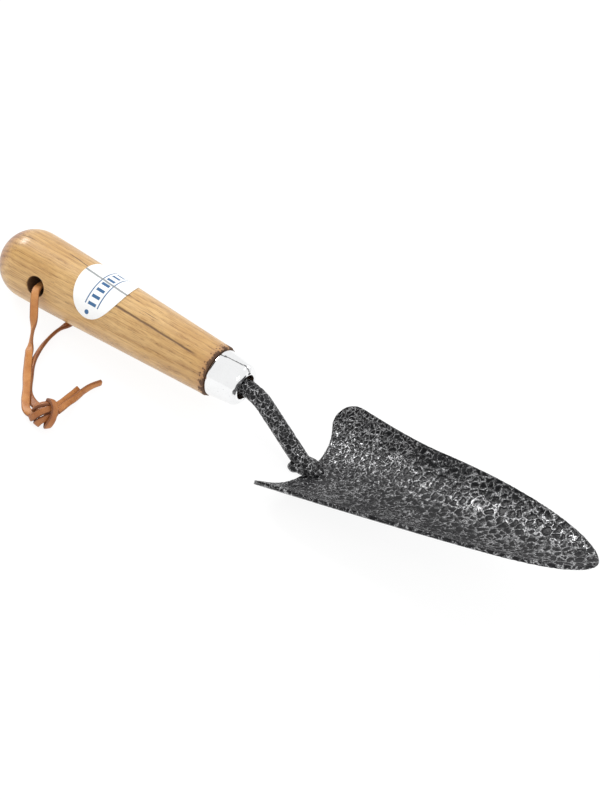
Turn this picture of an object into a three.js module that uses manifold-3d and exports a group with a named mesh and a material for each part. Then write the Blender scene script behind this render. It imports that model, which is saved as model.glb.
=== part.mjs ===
// Hand transplanter: a turned ash handle, a chromed ferrule, a forged neck, a
// pressed steel trough and a leather thong tied through the handle.
// Millimetres. The tool lies on its butt and on the rear edge of its blade,
// X points to the blade's tip, Y to the left, Z up.
import * as THREE from 'three';
import { mergeVertices } from 'three/addons/utils/BufferGeometryUtils.js';
import Module from 'manifold-3d';

const wasm = await Module();
wasm.setup();

const GAP = 0.3;            // clearance between pieces that touch
const OVERRUN = 2;          // how far a cutting solid stands out of what it cuts
const ROUND = 40;           // facets round the turned pieces
const HOLE_ROUND = 24;      // facets round the cross hole
const BAR_SIDES = 20;       // facets round the neck
const BALL = [24, 14];      // facets round and over the weld and the knot

// The blade, laid out on its own curved inner face: x runs forward from the
// rear, s is the distance across from the keel, measured along the sheet.
const blade = {
  sheet: 1.6,
  rearCurvature: 1 / 51,
  curvatureGain: 0.0146,
  gainLength: 140,
  rocker: 3.9,
  rockerLength: 100,
  notch: { x: 6.5, flat: 26 },
  ear: { x: 0, s: 31, inner: 6, outer: 5.5 },
  widest: { x: 10, s: 39.7, rear: 5.5, front: 2.5 },
  waist: { x: 60, s: 30.8, slope: 0.1, rear: 22, front: 62 },
  tip: { x: 152.7, nose: 8.4 },
  spine: { rear: 19, rearShare: 0.25, settled: 0.45 },
  stepsAlong: 46,
  stepsAcross: 6,
};

const handle = {
  length: 128.5,
  buttRadius: 17,
  frontRadius: 12.5,
  fullness: 1.5,
  barrelEnd: 35,
  shoulder: 2.8,
  shoulderDrop: 0.7,
  spigot: 11,
  slope: 12.2,            // degrees down towards the blade, before it is laid down
  front: { x: -42.3, z: 36 },
  roll: 12,               // degrees the handle is turned on its tang
  hole: { fromButt: 31.3, radius: 4.8, rim: 5.5, rimDepth: 1.3 },
  domeSteps: 10,
  barrelSteps: 12,
};

const ferrule = {
  rearRadius: 11.5,
  frontRadius: 10.2,
  straight: 12,
  nose: 3.6,
  mouth: 6.2,
  wall: 0.8,
  noseSteps: 7,
};

const neck = {
  radius: 4,
  fall: 51,               // degrees below the keel line on the straight run
  bend: 18,
  foot: 5,
  tang: { plain: 9, length: 62, point: 1 },
  steps: 22,
};

const weld = { radii: [8.2, 6.6, 5.2], ahead: 0.6, above: 1.4 };

// The label is an oval whose long way goes round the handle. centre is its
// distance from the butt, and turn its angle towards the hole's right-hand mouth.
const label = {
  width: 25.6,
  length: 41,
  centre: 61.8,
  turn: 18.5,
  thickness: 0.25,
  spineShare: 0.96,
  stepsAlong: 24,
  stepsAcross: 3,
};

const lace = { diameter: 1.6, sides: 8, step: 3.5, mostSteps: 80 };

const knot = { centre: [-79.7, -63.4, 6.1], radii: [7, 7, 5.9] };

const materials = {
  wood: new THREE.MeshStandardMaterial({ name: 'wood', color: 0xb98a55, roughness: 0.45 }),
  chrome: new THREE.MeshStandardMaterial({ name: 'chrome', color: 0xdddddd, metalness: 1, roughness: 0.15 }),
  paint: new THREE.MeshStandardMaterial({ name: 'paint', color: 0x3a3c3e, metalness: 0.4, roughness: 0.4 }),
  vinyl: new THREE.MeshStandardMaterial({ name: 'vinyl', color: 0xf2f2f0, roughness: 0.3 }),
  leather: new THREE.MeshStandardMaterial({ name: 'leather', color: 0xa9642c, roughness: 0.7 }),
};

const radians = THREE.MathUtils.degToRad;
const vec = (x, y, z) => new THREE.Vector3(x, y, z);

// ---- solids ---------------------------------------------------------------

function toManifold(geometry) {
  const bare = geometry.clone();
  bare.deleteAttribute('normal');
  bare.deleteAttribute('uv');
  const merged = mergeVertices(bare, 1e-5);
  return new wasm.Manifold(new wasm.Mesh({
    numProp: 3,
    vertProperties: new Float32Array(merged.attributes.position.array),
    triVerts: new Uint32Array(merged.index.array),
  }));
}

function toGeometry(solid) {
  const mesh = solid.getMesh();
  const geometry = new THREE.BufferGeometry();
  geometry.setAttribute('position', new THREE.BufferAttribute(new Float32Array(mesh.vertProperties), 3));
  geometry.setIndex(new THREE.BufferAttribute(new Uint32Array(mesh.triVerts), 1));
  geometry.computeVertexNormals();
  return geometry;
}

// A lathe about the handle's axis: each profile point is (radius, distance
// from the butt), and the solid is then carried to the handle's place.
function turned(profile, facets = ROUND) {
  const points = profile.map(([radius, along]) => new THREE.Vector2(radius, along));
  const geometry = new THREE.LatheGeometry(points, facets);
  geometry.applyMatrix4(alongHandle);
  return toManifold(geometry);
}

function arc(cx, cy, rx, ry, from, to, steps) {
  return Array.from({ length: steps + 1 }, (_, i) => {
    const angle = radians(from + ((to - from) * i) / steps);
    return [cx + rx * Math.cos(angle), cy + ry * Math.sin(angle)];
  });
}

// A round bar of one radius swept along a curve.
function bar(curve, radius, steps, sides) {
  const section = new THREE.Shape();
  const corners = Array.from({ length: sides }, (_, i) => {
    const angle = (2 * Math.PI * i) / sides;
    return new THREE.Vector2(radius * Math.cos(angle), radius * Math.sin(angle));
  });
  section.setFromPoints(corners);
  return new THREE.ExtrudeGeometry(section, { steps, extrudePath: curve, bevelEnabled: false });
}

// A thin sheet between two faces. edge is half of its outline from the rear
// of its centre line to the front, spine the matching points on that line;
// place(a, b, face) puts a point of the sheet in space, face 0 or 1.
function sheet(edge, spine, across, place) {
  const columns = 2 * across + 1;
  const positions = [];
  for (const face of [0, 1]) {
    edge.forEach((point, row) => {
      for (let column = -across; column <= across; column += 1) {
        const share = Math.abs(column) / across;
        const a = spine[row] + (point.x - spine[row]) * share;
        const b = point.y * share * Math.sign(column);
        const spot = place(a, b, face);
        positions.push(spot.x, spot.y, spot.z);
      }
    });
  }
  const rows = edge.length;
  const index = [];
  const at = (face, row, column) => (face * rows + row) * columns + column;
  const quad = (p, q, r, t) => index.push(p, q, r, p, r, t);
  for (let row = 0; row + 1 < rows; row += 1) {
    for (let column = 0; column + 1 < columns; column += 1) {
      quad(at(1, row, column), at(1, row + 1, column), at(1, row + 1, column + 1), at(1, row, column + 1));
      quad(at(0, row, column), at(0, row, column + 1), at(0, row + 1, column + 1), at(0, row + 1, column));
    }
    for (const column of [0, columns - 1]) {
      const rim = [at(0, row, column), at(0, row + 1, column), at(1, row + 1, column), at(1, row, column)];
      quad(...(column === 0 ? rim : rim.reverse()));
    }
  }
  const geometry = new THREE.BufferGeometry();
  geometry.setAttribute('position', new THREE.Float32BufferAttribute(positions, 3));
  geometry.setIndex(index);
  return dropFlatTriangles(geometry);
}

// The two ends of a sheet's outline close to a point: the triangles between
// its merged corners have no area and are left out.
function dropFlatTriangles(geometry) {
  const merged = mergeVertices(geometry, 1e-4);
  const kept = [];
  for (let i = 0; i < merged.index.count; i += 3) {
    const [p, q, r] = [0, 1, 2].map((k) => merged.index.getX(i + k));
    if (p !== q && q !== r && r !== p) kept.push(p, q, r);
  }
  merged.setIndex(kept);
  return merged;
}

// ---- where the tool lies --------------------------------------------------

const slope = radians(handle.slope);
const handleAxis = vec(Math.cos(slope), 0, -Math.sin(slope));
const handleFront = vec(handle.front.x, 0, handle.front.z);
const butt = handleFront.clone().addScaledVector(handleAxis, -handle.length);

// Carries the handle's own frame to its place: Y runs from the butt along the
// axis, X goes out through the right-hand mouth of the hole and Z is a quarter
// turn up from it. The roll turns both round the axis.
const alongHandle = new THREE.Matrix4()
  .makeBasis(
    vec(0, -1, 0),
    handleAxis,
    new THREE.Vector3().crossVectors(vec(0, -1, 0), handleAxis),
  )
  .setPosition(butt)
  .multiply(new THREE.Matrix4().makeRotationY(radians(-handle.roll)));

// Lays the tool down until its butt and its rear keel edge both touch the
// ground, and moves it so that the ground's origin is below its middle.
function lieDown() {
  const contact = vec(blade.notch.x, 0, -blade.sheet);
  const dome = butt.clone().addScaledVector(handleAxis, handle.buttRadius).sub(contact);
  const rise = Math.atan2(dome.z, -dome.x);
  const lean = rise - Math.asin(handle.buttRadius / dome.length());
  const turn = new THREE.Matrix4().makeRotationY(-lean);
  turn.multiply(new THREE.Matrix4().makeTranslation(-contact.x, 0, -contact.z));
  const rear = dome.add(contact).applyMatrix4(turn).x - handle.buttRadius;
  const front = bladePoint(blade.tip.x, 0, blade.sheet).applyMatrix4(turn).x;
  return new THREE.Matrix4().makeTranslation(-(rear + front) / 2, 0, 0).multiply(turn);
}

// ---- blade ----------------------------------------------------------------

// A point of the blade, depth millimetres below its inner face. The section
// is an arc that tightens towards the tip, on a keel that rises a little.
function bladePoint(x, s, depth) {
  const curvature = blade.rearCurvature + (blade.curvatureGain * x) / blade.gainLength;
  const radius = 1 / curvature;
  const angle = s / radius;
  const keel = blade.rocker * (Math.max(x, 0) / blade.rockerLength) ** 2;
  return vec(
    x,
    (radius + depth) * Math.sin(angle),
    keel + radius - (radius + depth) * Math.cos(angle),
  );
}

function bladeEdge() {
  const { notch, ear, widest, waist, tip } = blade;
  const path = new THREE.Path();
  path.moveTo(notch.x, 0);
  path.bezierCurveTo(notch.x, notch.flat, ear.x, ear.s - ear.inner, ear.x, ear.s);
  path.bezierCurveTo(ear.x, ear.s + ear.outer, widest.x - widest.rear, widest.s, widest.x, widest.s);
  path.bezierCurveTo(
    widest.x + widest.front, widest.s,
    waist.x - waist.rear, waist.s + waist.slope * waist.rear,
    waist.x, waist.s,
  );
  path.bezierCurveTo(
    waist.x + waist.front, waist.s - waist.slope * waist.front,
    tip.x, tip.nose,
    tip.x, 0,
  );
  return path.getSpacedPoints(blade.stepsAlong);
}

// The sheet between two offsets from its inner face. The points on its keel
// bunch up behind the notch and even out towards the tip.
function bladeSolid(above, below) {
  const edge = bladeEdge();
  const last = edge.length - 1;
  const { rear, rearShare, settled } = blade.spine;
  const spine = edge.map((point, row) => {
    const share = row / last;
    const early = blade.notch.x + rear * Math.min(share / rearShare, 1);
    const late = Math.max(point.x, early);
    return THREE.MathUtils.lerp(early, late, THREE.MathUtils.smoothstep(share, 0, settled));
  });
  const onBlade = (x, s, face) => bladePoint(x, s, face === 1 ? -above : below);
  return toManifold(sheet(edge, spine, blade.stepsAcross, onBlade));
}

// ---- neck and weld --------------------------------------------------------

// The bar's middle line, from inside the handle to just through the blade.
function neckCurve() {
  const fall = radians(neck.fall);
  const run = vec(Math.cos(fall), 0, -Math.sin(fall));
  const foot = bladePoint(neck.foot, 0, 0);
  // The two straights meet here; the bend is an arc tangent to both.
  const gap = foot.clone().sub(handleFront);
  const along = (gap.x * run.z - gap.z * run.x) / (handleAxis.x * run.z - handleAxis.z * run.x);
  const corner = handleFront.clone().addScaledVector(handleAxis, along);
  const trim = neck.bend * Math.tan((fall - slope) / 2);
  const start = handleFront.clone().addScaledVector(handleAxis, -neck.tang.plain);
  const bendIn = corner.clone().addScaledVector(handleAxis, -trim);
  const bendOut = corner.clone().addScaledVector(run, trim);
  const end = foot.clone().addScaledVector(run, 2 * blade.sheet);
  const path = new THREE.CurvePath();
  path.add(new THREE.LineCurve3(start, bendIn));
  path.add(new BendCurve(bendIn, handleAxis, run, neck.bend));
  path.add(new THREE.LineCurve3(bendOut, end));
  return path;
}

// A circular bend in the XZ plane from one direction to another.
class BendCurve extends THREE.Curve {
  constructor(start, from, to, radius) {
    super();
    this.start = start;
    this.from = from;
    this.sweep = from.angleTo(to);
    this.radius = radius;
    this.inward = to.clone().addScaledVector(from, -from.dot(to)).normalize();
  }

  getPoint(t, target = vec(0, 0, 0)) {
    const angle = this.sweep * t;
    return target.copy(this.start)
      .addScaledVector(this.from, this.radius * Math.sin(angle))
      .addScaledVector(this.inward, this.radius * (1 - Math.cos(angle)));
  }
}

function neckSolid(radius) {
  return toManifold(bar(neckCurve(), radius, neck.steps, BAR_SIDES));
}

// The tang: plain where it enters the handle, then tapering to its point.
function tangSolid(slack) {
  const { plain, length, point } = neck.tang;
  const rear = handle.length - plain;
  const radius = neck.radius + slack;
  return turned([
    [0, handle.length - length - slack],
    [point + slack, handle.length - length - slack],
    [radius, rear],
    [radius, rear + OVERRUN],
    [0, rear + OVERRUN],
  ], BAR_SIDES);
}

// The weld: a bead built up round the foot of the neck.
function weldSolid() {
  const bead = new THREE.SphereGeometry(1, ...BALL);
  bead.scale(...weld.radii);
  bead.translate(neck.foot + weld.ahead, 0, weld.above);
  return toManifold(bead);
}

// ---- handle and ferrule ---------------------------------------------------

// The barrel from the dome to the shoulder, as (radius, distance from the butt).
function barrelPoints(steps) {
  const { length, buttRadius, frontRadius, fullness, barrelEnd, shoulder } = handle;
  const nose = length - shoulder;
  return new THREE.CubicBezierCurve(
    new THREE.Vector2(buttRadius, buttRadius),
    new THREE.Vector2(buttRadius, barrelEnd),
    new THREE.Vector2(frontRadius + fullness, nose - barrelEnd),
    new THREE.Vector2(frontRadius, nose),
  ).getPoints(steps);
}

function handleSolid() {
  const { length, buttRadius, frontRadius, shoulderDrop, spigot, domeSteps, barrelSteps } = handle;
  const skin = ferrule.wall + GAP;
  const profile = [
    [0, 0],
    ...arc(0, buttRadius, buttRadius, buttRadius, -90, 0, domeSteps).slice(1),
    ...barrelPoints(barrelSteps).slice(1).map((point) => [point.x, point.y]),
    [frontRadius - shoulderDrop, length],
    [ferrule.rearRadius - skin, length],
    [ferrule.frontRadius - skin, length + spigot],
    [0, length + spigot],
  ];
  return turned(profile).subtract(holeSolid()).subtract(tangSolid(GAP).add(boreSolid()));
}

// The cross hole, its two mouths opened out to their rims.
function holeSolid() {
  const { hole, buttRadius } = handle;
  const half = [
    [0, buttRadius + OVERRUN],
    [hole.rim + OVERRUN, buttRadius + OVERRUN],
    [hole.rim, buttRadius],
    [hole.radius, buttRadius - hole.rimDepth],
  ];
  const mirrored = half.map(([radius, along]) => [radius, -along]);
  const profile = [...mirrored, ...half.reverse()].map((point) => new THREE.Vector2(...point));
  const drill = new THREE.LatheGeometry(profile, HOLE_ROUND);
  drill.rotateZ(Math.PI / 2);
  drill.translate(0, hole.fromButt, 0);
  drill.applyMatrix4(alongHandle);
  return toManifold(drill);
}

// The straight mouth of the tang's bore, open at the spigot's face.
function boreSolid() {
  const radius = neck.radius + GAP;
  return turned([
    [0, handle.length - neck.tang.plain],
    [radius, handle.length - neck.tang.plain],
    [radius, handle.length + handle.spigot + OVERRUN],
    [0, handle.length + handle.spigot + OVERRUN],
  ], BAR_SIDES);
}

function ferruleSolid() {
  const { rearRadius, frontRadius, straight, nose, mouth, wall, noseSteps } = ferrule;
  const rear = handle.length + GAP;
  const front = handle.length + straight;
  const roll = frontRadius - nose;
  const hollow = nose - wall;
  const outside = [[rearRadius, rear], ...arc(roll, front, nose, nose, 0, 90, noseSteps)];
  const lip = [[mouth, front + nose], [mouth, front + hollow]];
  const inside = [...arc(roll, front, hollow, hollow, 90, 0, noseSteps), [rearRadius - wall, rear]];
  return turned([...outside, ...lip, ...inside, outside[0]]);
}

// ---- label ----------------------------------------------------------------

function handleRadiusAt(along) {
  const points = barrelPoints(label.stepsAlong * label.stepsAcross);
  const next = points.findIndex((point) => point.y > along);
  const [before, after] = [points[next - 1], points[next]];
  return THREE.MathUtils.mapLinear(along, before.y, after.y, before.x, after.x);
}

function labelSolid() {
  const outline = new THREE.EllipseCurve(0, 0, label.length / 2, label.width / 2, Math.PI, 0, true);
  const edge = outline.getSpacedPoints(label.stepsAlong);
  const spine = edge.map((point) => point.x * label.spineShare);
  const geometry = sheet(edge, spine, label.stepsAcross, (round, along, face) => {
    const station = label.centre + along;
    const radius = handleRadiusAt(station) + GAP + face * label.thickness;
    const angle = radians(label.turn) + round / handleRadiusAt(label.centre);
    return vec(radius * Math.sin(angle), station, radius * Math.cos(angle));
  });
  geometry.applyMatrix4(alongHandle);
  return toManifold(geometry);
}

// ---- thong ----------------------------------------------------------------

// One leather lace: through the hole, both halves along the ground to the
// knot, two tails beyond it. The points are the middle of the lace.
const nearRoute = [
  [-130.4, -0.2, 17.84], [-130.5, -7, 19.3], [-130.2, -13, 20.6], [-128.9, -17.6, 20.9],
  [-126.6, -20.9, 18.5], [-125.2, -22.2, 14.6], [-124.2, -23, 10.4], [-123, -24.2, 6.6],
  [-121, -27, 3.8], [-117.8, -31.5, 2.6], [-111.6, -39.6, 2.9], [-104.7, -47.9, 3.2],
  [-98.2, -55.4, 3.2], [-92.6, -62, 3], [-89, -65.3, 3.1], [-85.6, -66.1, 3.6],
  [-81.8, -64.4, 4.8],
];
const farRoute = [
  [-130.4, 0.2, 17.76], [-130.4, 8, 16.1], [-130.3, 15.5, 14.5], [-130, 20, 12.8],
  [-129.1, 23.2, 9.6], [-127.6, 23.4, 5.6], [-125.4, 20.6, 2.5], [-122.6, 15, 1.3],
  [-119.2, 7.5, 1.1], [-116.9, -1, 1.1], [-116.7, -7.8, 1.4], [-116.6, -13.8, 2],
  [-115.5, -21.2, 2.2], [-113.7, -28.2, 2.1], [-111.3, -34.6, 1.9], [-108.1, -41.2, 1.6],
  [-102.8, -48.5, 1.4], [-96.2, -55.7, 1.4], [-90.5, -59, 2.1], [-84, -60.5, 3.6],
];
const shortTail = [[-80.2, -58, 5.4], [-80.8, -50.6, 4.2], [-81.9, -44, 3], [-83.2, -36.9, 1.8]];
const longTail = [
  [-77.2, -58, 5.4], [-78.2, -50.5, 4.6], [-78.7, -44.3, 4],
  [-79.9, -36.9, 3], [-80, -30.6, 2.2], [-79, -26, 1.9],
];

// A stretch of lace, cut off where it enters the knot.
function laceSolid(route) {
  const curve = new THREE.CatmullRomCurve3(route.map((point) => vec(...point)), false, 'centripetal');
  const steps = Math.min(lace.mostSteps, Math.round(curve.getLength() / lace.step));
  const tube = toManifold(bar(curve, lace.diameter / 2, steps, lace.sides));
  const piece = tube.subtract(knotSolid(GAP));
  tube.delete();
  return piece;
}

function knotSolid(slack) {
  const ball = new THREE.SphereGeometry(1, ...BALL);
  ball.scale(...knot.radii.map((radius) => radius + slack));
  ball.translate(...knot.centre);
  return toManifold(ball);
}

// ---- assembly -------------------------------------------------------------

const object = new THREE.Group();
object.name = 'hand_transplanter';

function add(name, solid, material) {
  const mesh = new THREE.Mesh(toGeometry(solid), material);
  mesh.name = name;
  object.add(mesh);
}

const laid = lieDown().elements;
// The room the blade takes up, with everything right below it.
const bladeClear = bladeSolid(GAP, 2 * neck.radius + blade.sheet);
const neckWhole = neckSolid(neck.radius).add(tangSolid(0)).subtract(bladeClear);
const weldWhole = weldSolid().subtract(neckSolid(neck.radius + GAP)).subtract(bladeClear);

// What would stick out below the blade's keel edge is ground away.
const groundOff = (solid) => solid.transform(laid).trimByPlane([0, 0, 1], GAP);

add('handle', handleSolid().transform(laid), materials.wood);
add('ferrule', ferruleSolid().transform(laid), materials.chrome);
add('neck', groundOff(neckWhole), materials.paint);
add('weld', groundOff(weldWhole), materials.paint);
add('blade', bladeSolid(0, blade.sheet).transform(laid), materials.paint);
add('label', labelSolid().transform(laid), materials.vinyl);
add('thong_near', laceSolid(nearRoute), materials.leather);
add('thong_far', laceSolid(farRoute), materials.leather);
add('thong_knot', knotSolid(0), materials.leather);
add('thong_tail_short', laceSolid(shortTail), materials.leather);
add('thong_tail_long', laceSolid(longTail), materials.leather);

export default object;
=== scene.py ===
"""A hand transplanter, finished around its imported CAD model.

Sizes are in millimetres and angles in degrees. The tool's pieces are modelled in the
tool's own frame, X towards the blade's tip, then laid on the ground in metres, where
the CAD model lies. The thong is modelled where it lies on the ground.
"""

import logging
import math
from dataclasses import dataclass
from enum import Enum
from typing import Callable, Sequence

import bmesh
import bpy
from mathutils import Matrix, Vector, geometry, noise


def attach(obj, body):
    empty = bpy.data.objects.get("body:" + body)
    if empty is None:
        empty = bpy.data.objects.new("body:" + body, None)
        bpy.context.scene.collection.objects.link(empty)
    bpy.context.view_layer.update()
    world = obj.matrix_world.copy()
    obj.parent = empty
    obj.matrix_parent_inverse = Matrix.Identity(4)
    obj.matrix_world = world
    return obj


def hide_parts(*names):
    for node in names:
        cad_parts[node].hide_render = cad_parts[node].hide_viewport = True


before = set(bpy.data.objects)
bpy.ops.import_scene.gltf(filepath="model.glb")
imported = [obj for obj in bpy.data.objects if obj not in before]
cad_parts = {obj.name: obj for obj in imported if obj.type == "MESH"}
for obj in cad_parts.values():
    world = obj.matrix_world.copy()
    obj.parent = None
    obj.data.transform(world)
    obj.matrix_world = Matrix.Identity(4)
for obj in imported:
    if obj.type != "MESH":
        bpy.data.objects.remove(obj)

LOG = logging.getLogger("transplanter")
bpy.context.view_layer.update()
BODY = "root"
METRES = 0.001  # metres in a millimetre
OUT_FROM_MIDDLE = "out_from_middle"
CURVE_STEPS = 64  # points on each stretch of a drawn curve
UV_SPAN = 100.0  # millimetres of the label to one unit of its UV map

Colour = tuple[float, float, float]
Point = tuple[float, float, float]
Flat = tuple[float, float]


class Slot(Enum):
    """The material slots."""

    ASH = "ash"
    CHROME = "chrome"
    PAINT = "hammered_paint"
    VINYL = "vinyl"
    LEATHER = "leather"


# ---- curves ------------------------------------------------------------------


class Trail:
    """A line through many points, asked for points by the share of its length."""

    def __init__(self, points: Sequence[Vector]) -> None:
        """Keeps the points and the length up to each.

        Args:
            points: The points, in order, two or more.
        """
        self.points = list(points)
        self.reached = [0.0]
        for start, end in zip(self.points, self.points[1:]):
            self.reached.append(self.reached[-1] + (end - start).length)

    @property
    def length(self) -> float:
        """The whole length."""
        return self.reached[-1]

    def at(self, share: float) -> Vector:
        """A point of the line.

        Args:
            share: How far along, from 0 to 1.

        Returns:
            The point.
        """
        want = min(max(share, 0.0), 1.0) * self.length
        low, high = 0, len(self.reached) - 1
        while high - low > 1:
            middle = (low + high) // 2
            if self.reached[middle] <= want:
                low = middle
            else:
                high = middle
        step = self.reached[high] - self.reached[low]
        part = (want - self.reached[low]) / step if step > 0 else 0.0
        return self.points[low].lerp(self.points[high], part)

    def spaced(self, count: int) -> list[Vector]:
        """Evenly spaced points, one more than the steps between them."""
        return [self.at(i / count) for i in range(count + 1)]


def bezier(start: Flat, out: Flat, back: Flat, end: Flat) -> list[Vector]:
    """Points of a flat cubic curve, both ends among them, from its ends and the handles between."""
    corners = [Vector((x, y)) for x, y in (start, out, back, end)]
    return geometry.interpolate_bezier(*corners, CURVE_STEPS)


def through(points: Sequence[Point], per_stretch: int = 12) -> Trail:
    """A smooth line through a few points, as a cord lies.

    Args:
        points: The points that it passes.
        per_stretch: Steps between one point and the next.

    Returns:
        The line.
    """
    knots = [Vector(p) for p in points]
    before = knots[0] * 2 - knots[1]
    after = knots[-1] * 2 - knots[-2]
    padded = [before, *knots, after]
    smooth = [knots[0]]
    for a, b, c, d in zip(padded, padded[1:], padded[2:], padded[3:]):
        reach = [math.sqrt((q - p).length) for p, q in ((a, b), (b, c), (c, d))]
        leave = (b - a) / reach[0] - (c - a) / (reach[0] + reach[1]) + (c - b) / reach[1]
        come = (c - b) / reach[1] - (d - b) / (reach[1] + reach[2]) + (d - c) / reach[2]
        out = b + leave * reach[1] / 3
        back = c - come * reach[1] / 3
        smooth += geometry.interpolate_bezier(b, out, back, c, per_stretch + 1)[1:]
    return Trail(smooth)


def ease(value: float, low: float, high: float) -> float:
    """Goes smoothly from 0 at low to 1 at high, which may be below low."""
    share = min(max((value - low) / (high - low), 0.0), 1.0)
    return share * share * (3 - 2 * share)


# ---- mesh tools --------------------------------------------------------------


def turned(profile: Sequence[Flat], steps: int) -> bmesh.types.BMesh:
    """A body turned on a lathe about Y.

    Args:
        profile: (radius, distance along the axis) points, a closed or an axis-to-axis line.
        steps: Facets round the axis.

    Returns:
        The body, its poles closed.
    """
    body = bmesh.new()
    line = [body.verts.new((radius, along, 0.0)) for radius, along in profile]
    edges = [body.edges.new(pair) for pair in zip(line, line[1:])]
    if profile[0][0] > 0.0:
        edges.append(body.edges.new((line[-1], line[0])))
    bmesh.ops.spin(
        body,
        geom=line + edges,
        cent=(0, 0, 0),
        axis=(0, 1, 0),
        angle=2 * math.pi,
        steps=steps,
        use_merge=True,
    )
    bmesh.ops.remove_doubles(body, verts=body.verts, dist=1e-4)
    bmesh.ops.recalc_face_normals(body, faces=body.faces)
    return body


def swept(section: Sequence[Flat], stations: Sequence[Matrix]) -> bmesh.types.BMesh:
    """A closed section carried along a row of stations.

    An attribute of its points tells how far out each is from the section's middle, 0 to 1.

    Args:
        section: The section's corners, in order.
        stations: Where the section stands, its own plane being X and Y.

    Returns:
        The body, closed at both ends.
    """
    body = bmesh.new()
    out_from_middle = body.verts.layers.float.new(OUT_FROM_MIDDLE)
    ring = [body.verts.new((x, y, 0.0)) for x, y in section]
    reach = max(vert.co.x for vert in ring)
    for vert in ring:
        vert[out_from_middle] = abs(vert.co.x) / reach
    first = body.faces.new(ring)
    bmesh.ops.transform(body, matrix=stations[0], verts=ring)
    edges = list(first.edges)
    for before, station in zip(stations, stations[1:]):
        made = bmesh.ops.extrude_edge_only(body, edges=edges)["geom"]
        moved = [part for part in made if isinstance(part, bmesh.types.BMVert)]
        edges = [part for part in made if isinstance(part, bmesh.types.BMEdge)]
        bmesh.ops.transform(body, matrix=station @ before.inverted(), verts=moved)
    bmesh.ops.contextual_create(body, geom=edges)
    bmesh.ops.recalc_face_normals(body, faces=body.faces)
    return body


def facing_stations(trail: Trail, steps: int, facing: Sequence[tuple[float, Point]]) -> list[Matrix]:
    """Stations along a line for a flat section, with its wide face turned as asked.

    Args:
        trail: The line.
        steps: Steps along it.
        facing: (share of the length, direction of the wide face) pairs, in order.

    Returns:
        Stations with X across the section, Y out of its wide face and Z along the line.
    """
    stations = []
    for step in range(steps + 1):
        share = step / steps
        here = trail.at(share)
        ahead = (trail.at(share + 0.5 / steps) - trail.at(share - 0.5 / steps)).normalized()
        before = max((key for key in facing if key[0] <= share), key=lambda key: key[0])
        after = min((key for key in facing if key[0] >= share), key=lambda key: key[0])
        part = ease(share, before[0], after[0]) if after[0] > before[0] else 0.0
        face = Vector(before[1]).lerp(Vector(after[1]), part)
        face = (face - ahead * face.dot(ahead)).normalized()
        across = face.cross(ahead)
        turn = Matrix((across, face, ahead)).transposed().to_4x4()
        stations.append(Matrix.Translation(here) @ turn)
    return stations


def put_in_order(body: bmesh.types.BMesh) -> None:
    """Numbers a body's parts by where they are, so that every run gives the same mesh.

    The operators hand their parts back in an order that changes from run to run.

    Args:
        body: The body.
    """
    rank = {vert: k for k, vert in enumerate(sorted(body.verts, key=lambda vert: tuple(vert.co)))}
    body.verts.sort(key=rank.__getitem__)
    body.verts.index_update()
    for parts in (body.edges, body.faces):
        corners = {part: sorted(rank[vert] for vert in part.verts) for part in parts}
        order = {part: k for k, part in enumerate(sorted(parts, key=corners.__getitem__))}
        parts.sort(key=order.__getitem__)
        parts.index_update()


def as_object(name: str, body: bmesh.types.BMesh, sharp: float = 40.0) -> bpy.types.Object:
    """Makes a smooth-shaded object of a bmesh, and frees the bmesh.

    Args:
        name: The object's name.
        body: The bmesh.
        sharp: Edges that turn by more than this stay sharp.

    Returns:
        The object, linked to the scene.
    """
    for face in body.faces:
        face.smooth = True
    for edge in body.edges:
        if len(edge.link_faces) == 2:
            edge.smooth = edge.calc_face_angle() < math.radians(sharp)
    put_in_order(body)
    mesh = bpy.data.meshes.new(name)
    body.to_mesh(mesh)
    body.free()
    piece = bpy.data.objects.new(name, mesh)
    bpy.context.scene.collection.objects.link(piece)
    return piece


def settle_modifiers(piece: bpy.types.Object) -> None:
    """Applies every modifier on a piece.

    Args:
        piece: The piece.
    """
    graph = bpy.context.evaluated_depsgraph_get()
    mesh = bpy.data.meshes.new_from_object(piece.evaluated_get(graph))
    piece.modifiers.clear()
    piece.data = mesh


def cut(body: bmesh.types.BMesh, tool: bmesh.types.BMesh) -> bmesh.types.BMesh:
    """Cuts one closed body out of another.

    Args:
        body: The body, which is freed.
        tool: What is taken away, which is freed.

    Returns:
        What is left.
    """
    piece = as_object("cut_piece", body)
    cutter = as_object("cut_tool", tool)
    difference = piece.modifiers.new("difference", "BOOLEAN")
    difference.operation = "DIFFERENCE"
    difference.solver = "EXACT"
    difference.object = cutter
    settle_modifiers(piece)
    left = bmesh.new()
    left.from_mesh(piece.data)
    for done in (piece, cutter):
        bpy.data.objects.remove(done)
    return left


def keep_above(body: bmesh.types.BMesh, height: float) -> None:
    """Grinds off whatever of a closed body is below a height.

    Args:
        body: The body, in its place on the ground.
        height: The lowest that it may reach, in metres.
    """
    parts = [*body.verts, *body.edges, *body.faces]
    sliced = bmesh.ops.bisect_plane(
        body, geom=parts, plane_co=(0.0, 0.0, height), plane_no=(0.0, 0.0, -1.0), clear_outer=True
    )
    rim = [part for part in sliced["geom_cut"] if isinstance(part, bmesh.types.BMEdge)]
    if rim:
        bmesh.ops.holes_fill(body, edges=rim)


def place(body: bmesh.types.BMesh, where: Matrix) -> bmesh.types.BMesh:
    """Carries a body in millimetres to its place on the ground in metres, and returns it."""
    bmesh.ops.transform(body, matrix=Matrix.Scale(METRES, 4) @ where, verts=body.verts)
    return body


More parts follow.
